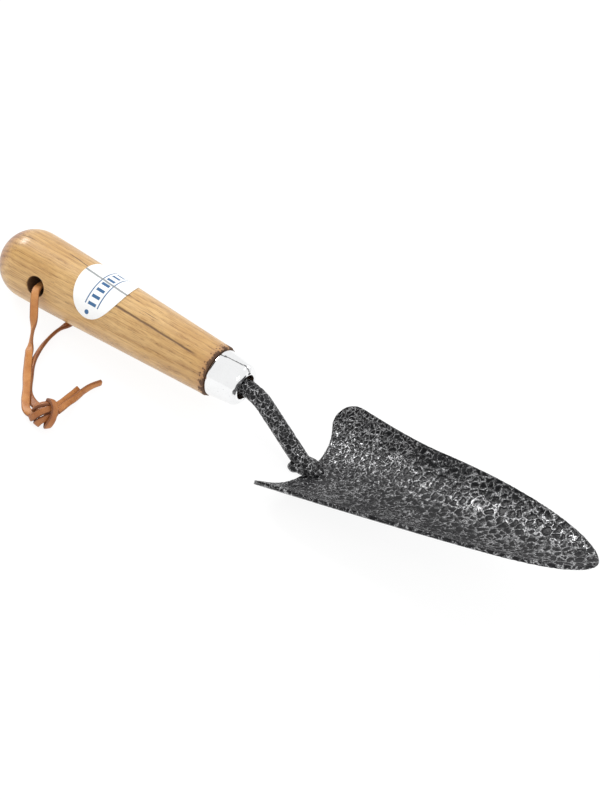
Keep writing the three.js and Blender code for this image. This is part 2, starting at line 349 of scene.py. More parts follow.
def hand_in(piece: bpy.types.Object, finish: bpy.types.Material, slot: Slot, *nodes: str) -> bpy.types.Object:
    """Dresses a piece and puts it in the frame in place of its CAD nodes.

    Args:
        piece: The piece.
        finish: Its material.
        slot: Not used.
        nodes: The CAD nodes that it stands for.

    Returns:
        The same piece.
    """
    piece.data.materials.clear()
    piece.data.materials.append(finish)
    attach(piece, BODY)
    if nodes:
        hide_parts(*nodes)
    LOG.info("%s: %d faces for %s", piece.name, len(piece.data.polygons), ", ".join(nodes))
    return piece


# ---- node tools --------------------------------------------------------------


class Graph:
    """Adds nodes to one node tree, of a material, a node group or a modifier."""

    def __init__(self, tree: bpy.types.NodeTree) -> None:
        """Starts on a tree.

        Args:
            tree: The tree.
        """
        self.tree = tree

    def node(self, kind: str, inputs: dict | None = None, **settings: object) -> bpy.types.Node:
        """Adds a node.

        Args:
            kind: The node's type.
            inputs: Values or sockets by the input's name or number.
            settings: The node's own settings.

        Returns:
            The node.
        """
        made = self.tree.nodes.new(kind)
        for key, value in settings.items():
            setattr(made, key, value)
        for key, value in (inputs or {}).items():
            if isinstance(value, bpy.types.NodeSocket):
                self.tree.links.new(value, made.inputs[key])
            else:
                made.inputs[key].default_value = value
        return made

    def math(self, operation: str, a: object, b: object = 0.0, clamp: bool = False) -> bpy.types.NodeSocket:
        """The result of one sum, such as MULTIPLY, kept from 0 to 1 if clamp is set."""
        return self.node("ShaderNodeMath", {0: a, 1: b}, operation=operation, use_clamp=clamp).outputs[0]

    def times(self, a: object, b: object) -> bpy.types.NodeSocket:
        """The product of two numbers or sockets."""
        return self.math("MULTIPLY", a, b)

    def plus(self, a: object, b: object, clamp: bool = False) -> bpy.types.NodeSocket:
        """The sum of two numbers or sockets, kept from 0 to 1 if clamp is set."""
        return self.math("ADD", a, b, clamp)

    def minus(self, a: object, b: object) -> bpy.types.NodeSocket:
        """The first number or socket less the second."""
        return self.math("SUBTRACT", a, b)

    def over(self, a: object, b: object) -> bpy.types.NodeSocket:
        """The first number or socket divided by the second."""
        return self.math("DIVIDE", a, b)

    def distance(self, a: object, b: object) -> bpy.types.NodeSocket:
        """The length of the line whose two parts, at right angles, are given."""
        return self.math("SQRT", self.plus(self.times(a, a), self.times(b, b)))

    def vector(self, operation: str, a: object, b: object = (0.0, 0.0, 0.0)) -> bpy.types.NodeSocket:
        """The vector result of one vector sum, such as ADD."""
        return self.node("ShaderNodeVectorMath", {0: a, 1: b}, operation=operation).outputs[0]

    def rise(self, value: object, low: float, high: float) -> bpy.types.NodeSocket:
        """A smooth step from 0 to 1.

        Args:
            value: The number or socket to place.
            low: Where the step starts.
            high: Where it ends, above or below low.

        Returns:
            The step's height.
        """
        flip = low > high
        ends = {1: high, 2: low, 3: 1.0, 4: 0.0} if flip else {1: low, 2: high, 3: 0.0, 4: 1.0}
        return self.node("ShaderNodeMapRange", {0: value, **ends}, interpolation_type="SMOOTHSTEP").outputs[0]

    def noise(self, vector: object, scale: object, detail: float = 2.0, rough: float = 0.5) -> bpy.types.Node:
        """A cloud texture, its number first and its colour second."""
        inputs = {"Vector": vector, "Scale": scale, "Detail": detail, "Roughness": rough}
        return self.node("ShaderNodeTexNoise", inputs)

    def mix(self, share: object, a: object, b: object) -> bpy.types.NodeSocket:
        """A blend of two colours or sockets, by the share of the second."""
        first, second = (c if isinstance(c, bpy.types.NodeSocket) else (*c, 1.0) for c in (a, b))
        return self.node("ShaderNodeMix", {0: share, 6: first, 7: second}, data_type="RGBA").outputs[2]

    def millimetres(self) -> bpy.types.NodeSocket:
        """Object coordinates in millimetres."""
        spot = self.node("ShaderNodeTexCoord").outputs["Object"]
        return self.vector("MULTIPLY", spot, (1 / METRES,) * 3)

    def on_handle(self, where: Matrix) -> bpy.types.NodeSocket:
        """The handle's own coordinates in millimetres, given its place in millimetres."""
        place_of = {"Vector": self.millimetres(), "Location": where.translation, "Rotation": where.to_euler()}
        return self.node("ShaderNodeMapping", place_of, vector_type="TEXTURE").outputs[0]


def effect(name: str, inputs: dict[str, float], output: str, build: Callable) -> bpy.types.NodeTree:
    """A shader node group with one vector input, some numbers and one number out.

    Args:
        name: The group's name.
        inputs: Its number inputs, with the value each has if none is given.
        output: The name of its output.
        build: Makes the inside from the graph and the group's input node, and returns its output.

    Returns:
        The group.
    """
    tree = bpy.data.node_groups.new(name, "ShaderNodeTree")
    tree.interface.new_socket("Vector", in_out="INPUT", socket_type="NodeSocketVector")
    for key, value in inputs.items():
        tree.interface.new_socket(key, in_out="INPUT", socket_type="NodeSocketFloat").default_value = value
    tree.interface.new_socket(output, in_out="OUTPUT", socket_type="NodeSocketFloat")
    graph = Graph(tree)
    entry = graph.node("NodeGroupInput")
    graph.node("NodeGroupOutput", {0: build(graph, entry)})
    return tree


class Effects:
    """The effects that several finishes share."""

    def __init__(self) -> None:
        """Builds each effect once."""
        self.fibres = effect("fibres", {"Length": 8.0, "Width": 0.4}, "Height", self._fibres)
        self.specks = effect("specks", {"Spacing": 4.0, "Size": 0.1}, "Mask", self._specks)
        self.clouds = effect("clouds", {"Size": 20.0, "Contrast": 2.0}, "Mask", self._clouds)
        ends = {"Start": 0.0, "From": 0.0, "End": 10.0, "To": 0.0, "Width": 0.2, "Fade": 6.0, "Waver": 2.6}
        self.hairline = effect("hairline", ends, "Mask", self._hairline)

    @staticmethod
    def _fibres(graph: Graph, entry: bpy.types.Node) -> bpy.types.NodeSocket:
        """Streaks that run along Y.

        Args:
            graph: The group's graph.
            entry: Its input node.

        Returns:
            The streaks' height.
        """
        slim = graph.over(1.0, entry.outputs["Width"])
        long = graph.over(1.0, entry.outputs["Length"])
        scale = graph.node("ShaderNodeCombineXYZ", {0: slim, 1: long, 2: slim}).outputs[0]
        return graph.noise(graph.vector("MULTIPLY", entry.outputs["Vector"], scale), 1.0, 3.0, 0.6).outputs[0]

    @staticmethod
    def _specks(graph: Graph, entry: bpy.types.Node) -> bpy.types.NodeSocket:
        """Small separate dots.

        Args:
            graph: The group's graph.
            entry: Its input node.

        Returns:
            1 on a dot and 0 between them.
        """
        inverse = graph.over(1.0, entry.outputs["Spacing"])
        dots = graph.node("ShaderNodeTexVoronoi", {"Vector": entry.outputs["Vector"], "Scale": inverse})
        far = graph.minus(dots.outputs["Distance"], entry.outputs["Size"])
        return graph.rise(far, 0.04, 0.0)

    @staticmethod
    def _clouds(graph: Graph, entry: bpy.types.Node) -> bpy.types.NodeSocket:
        """Soft patches, as handling leaves.

        Args:
            graph: The group's graph.
            entry: Its input node.

        Returns:
            The patches, about a half on average.
        """
        inverse = graph.over(1.0, entry.outputs["Size"])
        cloud = graph.noise(entry.outputs["Vector"], inverse, 4.0, 0.55)
        centred = graph.minus(cloud.outputs[0], 0.5)
        spread = graph.times(centred, entry.outputs["Contrast"])
        return graph.plus(spread, 0.5, clamp=True)

    def _hairline(self, graph: Graph, entry: bpy.types.Node) -> bpy.types.NodeSocket:
        """A thin wavering line that runs nearly along Y on a round piece about it.

        Start and End are distances along Y, From and To the angles there in degrees.

        Args:
            graph: The group's graph.
            entry: Its input node.

        Returns:
            1 on the line.
        """
        given = entry.outputs
        x, y, z = graph.node("ShaderNodeSeparateXYZ", {0: given["Vector"]}).outputs
        streak = use(graph, self.fibres, given["Vector"], Length=7.0, Width=0.6)
        bent = graph.times(graph.minus(streak, 0.5), given["Waver"])
        around = graph.plus(graph.times(graph.math("ARCTAN2", z, x), 180 / math.pi), bent)
        share = graph.over(graph.minus(y, given["Start"]),
                           graph.minus(given["End"], given["Start"]))
        line = graph.times(graph.minus(given["To"], given["From"]), share)
        off = graph.math("ABSOLUTE", graph.minus(around, graph.plus(line, given["From"])))
        off = graph.times(graph.times(off, math.pi / 180), graph.distance(x, z))
        near = graph.rise(graph.over(off, given["Width"]), 2.2, 0.4)
        past = graph.over(graph.minus(y, given["Start"]), given["Fade"])
        left = graph.over(graph.minus(given["End"], y), given["Fade"])
        ends = graph.times(graph.rise(past, 0.0, 1.0), graph.rise(left, 0.0, 1.0))
        return graph.times(near, ends)


def material(name: str) -> tuple[bpy.types.Material, Graph, bpy.types.Node]:
    """A material with its Principled shader linked to its output.

    Args:
        name: The material's name.

    Returns:
        The material, its graph and the shader node.
    """
    made = bpy.data.materials.new(name)
    made.use_nodes = True
    made.node_tree.nodes.clear()
    graph = Graph(made.node_tree)
    shader = graph.node("ShaderNodeBsdfPrincipled")
    graph.node("ShaderNodeOutputMaterial", {"Surface": shader.outputs[0]})
    return made, graph, shader


def use(graph: Graph, group: bpy.types.NodeTree, vector: object, **numbers: float) -> bpy.types.NodeSocket:
    """Places a shared effect, read at the vector, and returns its output."""
    return graph.node("ShaderNodeGroup", {"Vector": vector, **numbers}, node_tree=group).outputs[0]


def dress(
    graph: Graph, shader: bpy.types.Node, colour: object, rough: object, height: object,
    strength: float, deep: float,
) -> None:
    """Links a finish's colour, roughness and fine relief to its shader.

    Args:
        graph: The material's graph.
        shader: Its shader.
        colour: The colour.
        rough: The roughness.
        height: The relief's height.
        strength: How strongly the relief shows, 0 to 1.
        deep: The relief's depth, in millimetres.
    """
    graph.tree.links.new(colour, shader.inputs["Base Color"])
    graph.tree.links.new(rough, shader.inputs["Roughness"])
    bump = graph.node("ShaderNodeBump", {"Height": height, "Strength": strength, "Distance": deep * METRES})
    graph.tree.links.new(bump.outputs[0], shader.inputs["Normal"])


# ---- finishes ----------------------------------------------------------------


@dataclass(frozen=True)
class Ash:
    """Lacquered straight-grained ash, scorched where it meets the ferrule."""

    pale: Colour = (0.735, 0.48, 0.203)
    warm: Colour = (0.60, 0.355, 0.125)
    early: Colour = (0.33, 0.155, 0.045)
    pore: Colour = (0.10, 0.042, 0.016)
    end: Colour = (0.36, 0.15, 0.062)
    scorched: Colour = (0.05, 0.021, 0.011)
    # The painted shade inside the cross hole.
    hole_shade: Colour = (0.05, 0.02, 0.012)
    ring: float = 2.7
    heart: Flat = (64.0, -38.0)
    drift: float = 0.055
    # Each stain's length and width, the heights where it starts and is full, and its share.
    stains: tuple[tuple[float, float, float, float, float], ...] = (
        (38.0, 2.0, 0.48, 0.72, 0.4),
        (15.0, 4.0, 0.54, 0.7, 0.32),
    )
    # Each crack's start, angle there, end, angle there and width.
    cracks: tuple[tuple[float, float, float, float, float], ...] = (
        (34.0, 83.0, 79.5, 72.5, 0.24),
        (70.0, 42.5, 122.0, 39.0, 0.38),
        (84.0, 60.0, 97.0, 59.3, 0.14),
        (3.0, 66.0, 22.0, 69.0, 0.12),
    )

    def make(self, effects: Effects, where: Matrix, length: float, hole: Flat) -> bpy.types.Material:
        """Builds the material.

        Args:
            effects: The shared effects.
            where: The handle's place, in millimetres.
            length: The handle's length, whose last part is scorched.
            hole: The cross hole's distance from the butt, and its radius.

        Returns:
            The material.
        """
        made, graph, shader = material("lacquered_ash")
        spot = graph.on_handle(where)
        _, y, z = graph.node("ShaderNodeSeparateXYZ", {0: spot}).outputs
        wander = use(graph, effects.fibres, spot, Length=55.0, Width=14.0)
        early = self._early_wood(graph, effects, spot, wander)
        tone = use(graph, effects.clouds, spot, Size=24.0, Contrast=2.8)
        tone = graph.plus(tone, graph.times(graph.rise(y, 70.0, 125.0), 0.4), clamp=True)
        streak = use(graph, effects.fibres, spot, Length=24.0, Width=0.42)
        pores = graph.rise(use(graph, effects.fibres, spot, Length=7.0, Width=0.18), 0.56, 0.66)
        pores = graph.times(pores, graph.plus(graph.times(early, 0.8), 0.2))
        colour = graph.mix(tone, self.pale, self.warm)
        dome = graph.plus(graph.rise(y, 17.0, 1.0), graph.times(wander, 0.8))
        dome = graph.math("MULTIPLY", graph.rise(dome, 0.45, 1.25), graph.plus(tone, 0.6), clamp=True)
        colour = graph.mix(dome, colour, self.end)
        colour = graph.mix(graph.times(early, 0.32), colour, self.early)
        for long, wide, low, high, share in self.stains:
            stain = graph.rise(use(graph, effects.fibres, spot, Length=long, Width=wide), low, high)
            colour = graph.mix(graph.times(stain, share), colour, self.early)
        colour = graph.mix(graph.times(graph.rise(streak, 0.47, 0.68), 0.62), colour, self.early)
        colour = graph.mix(graph.times(pores, 0.8), colour, self.pore)
        # Painted shade: the wall of the cross hole is darkened as the shade inside it.
        inside = self._inside_hole(graph, y, z, hole)
        colour = graph.mix(graph.times(inside, 0.9), colour, self.hole_shade)
        end_rings = graph.times(graph.times(dome, early), 0.4)
        colour = graph.mix(end_rings, colour, self.pore)
        toast = graph.plus(y, graph.times(wander, 4.0))
        toast = graph.times(graph.rise(toast, length - 3.0, length + 2.0), 0.55)
        colour = graph.mix(toast, colour, self.end)
        groove = 0.0
        for start, start_angle, end, end_angle, width in self.cracks:
            ends = {"Start": start, "From": start_angle, "End": end, "To": end_angle}
            groove = graph.math("MAXIMUM", groove, use(graph, effects.hairline, spot, **ends, Width=width))
        colour = graph.mix(graph.times(groove, 0.85), colour, self.pore)
        char = self._char(graph, effects, spot, y, length)
        colour = graph.mix(char, colour, self.scorched)
        handled = use(graph, effects.clouds, spot, Size=9.0, Contrast=1.6)
        rough = graph.plus(graph.times(handled, 0.16), 0.34)
        rough = graph.plus(rough, graph.times(char, 0.4), clamp=True)
        height = graph.minus(graph.times(streak, 0.25), graph.times(pores, 0.5))
        height = graph.minus(height, graph.times(groove, 1.6))
        dress(graph, shader, colour, rough, height, strength=0.6, deep=0.12)
        coat = graph.times(graph.minus(1.0, char), 0.35)
        graph.tree.links.new(coat, shader.inputs["Coat Weight"])
        shader.inputs["Coat Roughness"].default_value = 0.2
        return made

    def _early_wood(
        self, graph: Graph, effects: Effects, spot: object, wander: object
    ) -> bpy.types.NodeSocket:
        """The soft porous part of each growth ring.

        Args:
            graph: The material's graph.
            effects: The shared effects.
            spot: The handle's own coordinates.
            wander: How far the rings stray, about a half on average.

        Returns:
            1 in early wood.
        """
        x, y, z = graph.node("ShaderNodeSeparateXYZ", {0: spot}).outputs
        fine = use(graph, effects.fibres, spot, Length=22.0, Width=1.1)
        shift = graph.times(graph.minus(wander, 0.5), 9.0)
        lean = graph.times(y, self.drift)
        out = graph.plus(graph.plus(graph.minus(x, self.heart[0]), lean), shift)
        up = graph.minus(z, self.heart[1])
        rings = graph.plus(graph.over(graph.distance(out, up), self.ring), graph.times(fine, 0.35))
        phase = graph.math("FRACT", rings)
        return graph.times(graph.rise(phase, 0.62, 0.05), graph.rise(phase, 0.0, 0.06))

    @staticmethod
    def _inside_hole(graph: Graph, y: object, z: object, hole: Flat) -> bpy.types.NodeSocket:
        """The wall of the cross hole, painted darker than the outside as shade in the hole.

        Args:
            graph: The material's graph.
            y: The distance from the butt.
            z: The handle's own Z.
            hole: The hole's distance from the butt, and its radius.

        Returns:
            1 on the wall.
        """
        off = graph.distance(graph.minus(y, hole[0]), z)
        return graph.rise(off, hole[1] + 0.55, hole[1] + 0.1)

    @staticmethod
    def _char(graph: Graph, effects: Effects, spot: object, y: object, length: float) -> bpy.types.NodeSocket:
        """The scorched ring at the shoulder, with specks beyond its edge.

        Args:
            graph: The material's graph.
            effects: The shared effects.
            spot: The handle's own coordinates.
            y: The distance from the butt.
            length: Where the shoulder's face is.

        Returns:
            1 where it is scorched.
        """
        ragged = use(graph, effects.clouds, spot, Size=2.2, Contrast=2.6)
        edge = graph.plus(y, graph.times(ragged, 3.0))
        ring = graph.times(graph.rise(edge, length - 0.1, length + 1.2), 0.88)
        specks = use(graph, effects.specks, spot, Spacing=1.5, Size=0.28)
        band = graph.times(specks, graph.rise(y, length - 4.0, length - 1.8))
        return graph.math("MAXIMUM", ring, graph.times(band, 0.8))


@dataclass(frozen=True)
class HammeredPaint:
    """Black hammer-finish paint: dark cells between raised silver-grey ridges."""

    black: Colour = (0.007, 0.007, 0.008)
    grey: Colour = (0.06, 0.061, 0.064)
    silver: Colour = (0.66, 0.66, 0.67)
    small_cell: float = 2.3
    large_cell: float = 3.6
    grows: Flat = (35.0, 125.0)
    height: float = 0.2

    def pattern(self, graph: Graph, spot: object) -> tuple[bpy.types.NodeSocket, bpy.types.NodeSocket]:
        """The cells, the same in a material and in a modifier.

        Args:
            graph: The graph to add them to.
            spot: Where they are read, in millimetres.

        Returns:
            How close the ridge is, 0 to 1, and a number of each cell's own.
        """
        warp = graph.vector("SUBTRACT", graph.noise(spot, 0.45, 2.0).outputs[1], (0.5, 0.5, 0.5))
        bent = graph.vector("ADD", spot, graph.vector("MULTIPLY", warp, (3.4, 3.4, 3.4)))
        small, own = self._cells(graph, bent, self.small_cell)
        large, _ = self._cells(graph, bent, self.large_cell)
        x = graph.node("ShaderNodeSeparateXYZ", {0: spot}).outputs[0]
        patch = graph.times(graph.minus(graph.noise(spot, 0.05, 1.0).outputs[0], 0.5), 150.0)
        share = graph.rise(graph.plus(x, patch), *self.grows)
        few = graph.times(graph.minus(large, small), share)
        return graph.plus(small, few), own

    @staticmethod
    def _cells(graph: Graph, spot: object, size: float) -> tuple[bpy.types.NodeSocket, bpy.types.NodeSocket]:
        """The cells of one size.

        Args:
            graph: The graph to add them to.
            spot: Where they are read, in millimetres.
            size: How wide a cell is.

        Returns:
            How close the ridge is, 0 to 1, and a number of each cell's own.
        """
        read = {"Vector": spot, "Scale": 1 / size}
        edge = graph.node("ShaderNodeTexVoronoi", read, feature="DISTANCE_TO_EDGE")
        cells = graph.node("ShaderNodeTexVoronoi", read, feature="F1")
        own = graph.node("ShaderNodeSeparateXYZ", {0: cells.outputs["Color"]}).outputs[0]
        return graph.rise(edge.outputs["Distance"], 0.26, 0.0), own

    def relief(self, piece: bpy.types.Object) -> None:
        """Raises the ridges in a piece's mesh.

        Args:
            piece: The piece, already in its place.
        """
        tree = bpy.data.node_groups.new("hammer_relief", "GeometryNodeTree")
        tree.interface.new_socket("Mesh", in_out="INPUT", socket_type="NodeSocketGeometry")
        tree.interface.new_socket("Mesh", in_out="OUTPUT", socket_type="NodeSocketGeometry")
        graph = Graph(tree)
        entry = graph.node("NodeGroupInput")
        where = graph.node("GeometryNodeInputPosition").outputs[0]
        ridge, own = self.pattern(graph, graph.vector("MULTIPLY", where, (1 / METRES,) * 3))
        tall = graph.times(graph.plus(graph.times(own, 0.5), 0.7), self.height * METRES)
        rise = graph.times(graph.minus(ridge, 0.4), tall)
        out = graph.node("GeometryNodeInputNormal").outputs[0]
        offset = graph.node("ShaderNodeVectorMath", {0: out, "Scale": rise}, operation="SCALE").outputs[0]
        moved = graph.node("GeometryNodeSetPosition", {"Geometry": entry.outputs[0], "Offset": offset})
        graph.node("NodeGroupOutput", {0: moved.outputs[0]})
        modifier = piece.modifiers.new("relief", "NODES")
        modifier.node_group = tree
        settle_modifiers(piece)

    def make(self, effects: Effects) -> bpy.types.Material:
        """Builds the material.

        Args:
            effects: The shared effects.

        Returns:
            The material.
        """
        made, graph, shader = material("hammered_paint")
        spot = graph.millimetres()
        ridge, own = self.pattern(graph, spot)
        handled = use(graph, effects.clouds, spot, Size=12.0, Contrast=1.8)
        fine = graph.noise(spot, 2.4, 3.0, 0.6).outputs[0]
        broken = graph.rise(graph.noise(spot, 0.35, 2.0).outputs[0], 0.36, 0.62)
        patchy = graph.times(graph.rise(fine, 0.38, 0.62), graph.plus(broken, 0.25))
        web = graph.math("MULTIPLY", graph.math("POWER", ridge, 6.0), patchy, clamp=True)
        dim = graph.times(graph.rise(own, 0.6, 0.95), 0.2)
        slope = graph.times(graph.math("POWER", ridge, 2.5), patchy)
        colour = graph.mix(graph.math("MAXIMUM", dim, slope), self.black, self.grey)
        colour = graph.mix(web, colour, self.silver)
        rough = graph.plus(graph.times(handled, 0.1), 0.14)
        graph.tree.links.new(graph.times(web, 0.7), shader.inputs["Metallic"])
        height = graph.plus(graph.times(ridge, 0.7), graph.times(fine, 0.35))
        dress(graph, shader, colour, rough, height, strength=1.0, deep=0.22)
        shader.inputs["Specular IOR Level"].default_value = 0.2
        return made


@dataclass(frozen=True)
class Chrome:
    """Bright chrome plate with a painted dark reflection line over a faint groove, a little handled and
    finely scratched.
    """

    bright: Colour = (0.93, 0.935, 0.94)
    dull: Colour = (0.74, 0.745, 0.75)
    # The colour of the painted dark reflection line.
    black: Colour = (0.03, 0.03, 0.032)
    # The painted reflection line and its groove: start, angle there, end, angle there and width.
    groove_and_reflection: tuple[float, float, float, float, float] = (127.0, 69.0, 144.5, 90.0, 0.25)

    def make(self, effects: Effects, where: Matrix) -> bpy.types.Material:
        """Builds the material.

        Args:
            effects: The shared effects.
            where: The handle's place, in millimetres.

        Returns:
            The material.
        """
        made, graph, shader = material("chrome_plate")
        spot = graph.on_handle(where)
        handled = use(graph, effects.clouds, spot, Size=6.0, Contrast=1.8)
        specks = use(graph, effects.specks, spot, Spacing=2.6, Size=0.05)
        colour = graph.mix(graph.times(handled, 0.35), self.bright, self.dull)
        colour = graph.mix(graph.times(specks, 0.4), colour, (0.25, 0.24, 0.23))
        # Painted reflection: a dark wavy line along the chrome, with a faint groove under it in the relief.
        start, start_angle, end, end_angle, width = self.groove_and_reflection
        groove_and_reflection = use(graph, effects.hairline, spot, Start=start, From=start_angle, End=end, To=end_angle,
                   Width=width, Fade=1.0, Waver=16.0)
        colour = graph.mix(graph.times(groove_and_reflection, 0.9), colour, self.black)
        rough = graph.plus(graph.times(handled, 0.08), 0.05)
        scratch = use(graph, effects.fibres, spot, Length=9.0, Width=0.25)
        scratch = graph.minus(scratch, graph.times(groove_and_reflection, 3.0))
        dress(graph, shader, colour, rough, scratch, strength=0.15, deep=0.02)
        shader.inputs["Metallic"].default_value = 1.0
        return made


@dataclass(frozen=True)
class Vinyl:
    """A white gloss sticker with a plain blue mark."""

    white: Colour = (0.93, 0.935, 0.93)
    ink: Colour = (0.025, 0.12, 0.28)
    # The painted shade along the label's crease.
    grey: Colour = (0.22, 0.24, 0.25)

    def make(self, effects: Effects) -> bpy.types.Material:
        """Builds the material. It reads the label's UV map, in millimetres from its middle.

        Args:
            effects: The shared effects.

        Returns:
            The material.
        """
        made, graph, shader = material("label_vinyl")
        spot = graph.vector("MULTIPLY", graph.node("ShaderNodeUVMap").outputs[0], (UV_SPAN, UV_SPAN, 0.0))
        x, y, _ = graph.node("ShaderNodeSeparateXYZ", {0: spot}).outputs
        colour = graph.mix(self._mark(graph, x, y), self.white, self.ink)
        # The crease: a dent in the relief, with painted shade along it in grey.
        waver = graph.times(graph.noise(spot, 0.25).outputs[0], 0.6)
        crease_and_shade = graph.minus(graph.plus(x, waver), graph.times(y, 0.043))
        crease_and_shade = graph.rise(graph.math("ABSOLUTE", graph.minus(crease_and_shade, 0.4)), 0.75, 0.3)
        colour = graph.mix(graph.times(crease_and_shade, 0.9), colour, self.grey)
        handled = use(graph, effects.clouds, spot, Size=7.0, Contrast=1.6)
        colour = graph.mix(graph.times(handled, 0.05), colour, (0.75, 0.72, 0.66))
        rough = graph.plus(graph.times(handled, 0.1), 0.2)
        height = graph.minus(handled, crease_and_shade)
        dress(graph, shader, colour, rough, height, strength=0.4, deep=0.1)
        return made

    @staticmethod
    def _mark(graph: Graph, x: object, y: object) -> bpy.types.NodeSocket:
        """A plain mark: a row of bars between two lines, and a dot.

        Args:
            graph: The material's graph.
            x: Distance round the handle from the label's middle.
            y: Distance along the handle from the label's middle.

        Returns:
            1 where there is ink.
        """
        inside = graph.rise(graph.math("ABSOLUTE", x), 13.9, 13.7)
        off = graph.math("ABSOLUTE", graph.minus(y, 1.2))
        lines = graph.rise(graph.math("ABSOLUTE", graph.minus(off, 3.5)), 0.36, 0.2)
        cycle = graph.math("FRACT", graph.over(x, 3.7))
        bars = graph.times(graph.rise(cycle, 0.28, 0.31), graph.rise(cycle, 0.72, 0.69))
        bars = graph.times(bars, graph.rise(off, 2.3, 2.1))
        band = graph.times(inside, graph.math("MAXIMUM", lines, bars))
        dot = graph.rise(graph.distance(graph.minus(x, 17.4), y), 1.25, 1.05)
        return graph.math("MAXIMUM", band, dot)


@dataclass(frozen=True)
class Leather:
    """Oiled tan lace leather with a pebbled grain."""

    name: str = "lace_leather"
    tan: Colour = (0.43, 0.15, 0.032)
    light: Colour = (0.61, 0.275, 0.085)
    dark: Colour = (0.16, 0.045, 0.014)

    def make(self, effects: Effects) -> bpy.types.Material:
        """Builds the material.

        Args:
            effects: The shared effects.

        Returns:
            The material.
        """
        made, graph, shader = material(self.name)
        spot = graph.millimetres()
        tone = use(graph, effects.clouds, spot, Size=5.0, Contrast=2.2)
        pebble = graph.noise(spot, 2.2, 3.0, 0.6).outputs[0]
        colour = graph.mix(tone, self.tan, self.light)
        colour = graph.mix(graph.times(graph.rise(pebble, 0.55, 0.75), 0.45), colour, self.dark)
        out = graph.node("ShaderNodeAttribute", attribute_name=OUT_FROM_MIDDLE).outputs["Fac"]
        colour = graph.mix(graph.times(graph.rise(out, 0.72, 0.98), 0.6), colour, self.dark)
        rough = graph.plus(graph.times(tone, 0.15), 0.42)
        dress(graph, shader, colour, rough, pebble, strength=0.5, deep=0.12)
        return made


# Painted shade: the knot and the far half take this darker leather as the shade on them; on the far half it
# is also its darker flesh side.
SHADE_AND_FLESH_LEATHER = Leather(
    "shade_and_flesh_leather", tan=(0.27, 0.078, 0.016), light=(0.44, 0.165, 0.042), dark=(0.09, 0.022, 0.008)
)
# The tails' leather, darker than the near half and lighter than the knot.
TAIL_LEATHER = Leather(
    "tail_leather", tan=(0.34, 0.11, 0.023), light=(0.52, 0.215, 0.06), dark=(0.12, 0.032, 0.011)
)


# ---- the tool ----------------------------------------------------------------


@dataclass(frozen=True)
class Lie:
    """How the tool lies: leant back on its butt, and moved over the ground's middle."""

    lean: float = 15.4227
    ahead: float = 16.733
    down: float = 0.186

    def matrix(self) -> Matrix:
        """The tool's frame on the ground, both in millimetres."""
        lean = Matrix.Rotation(-math.radians(self.lean), 4, "Y")
        return Matrix.Translation((self.ahead, 0.0, -self.down)) @ lean


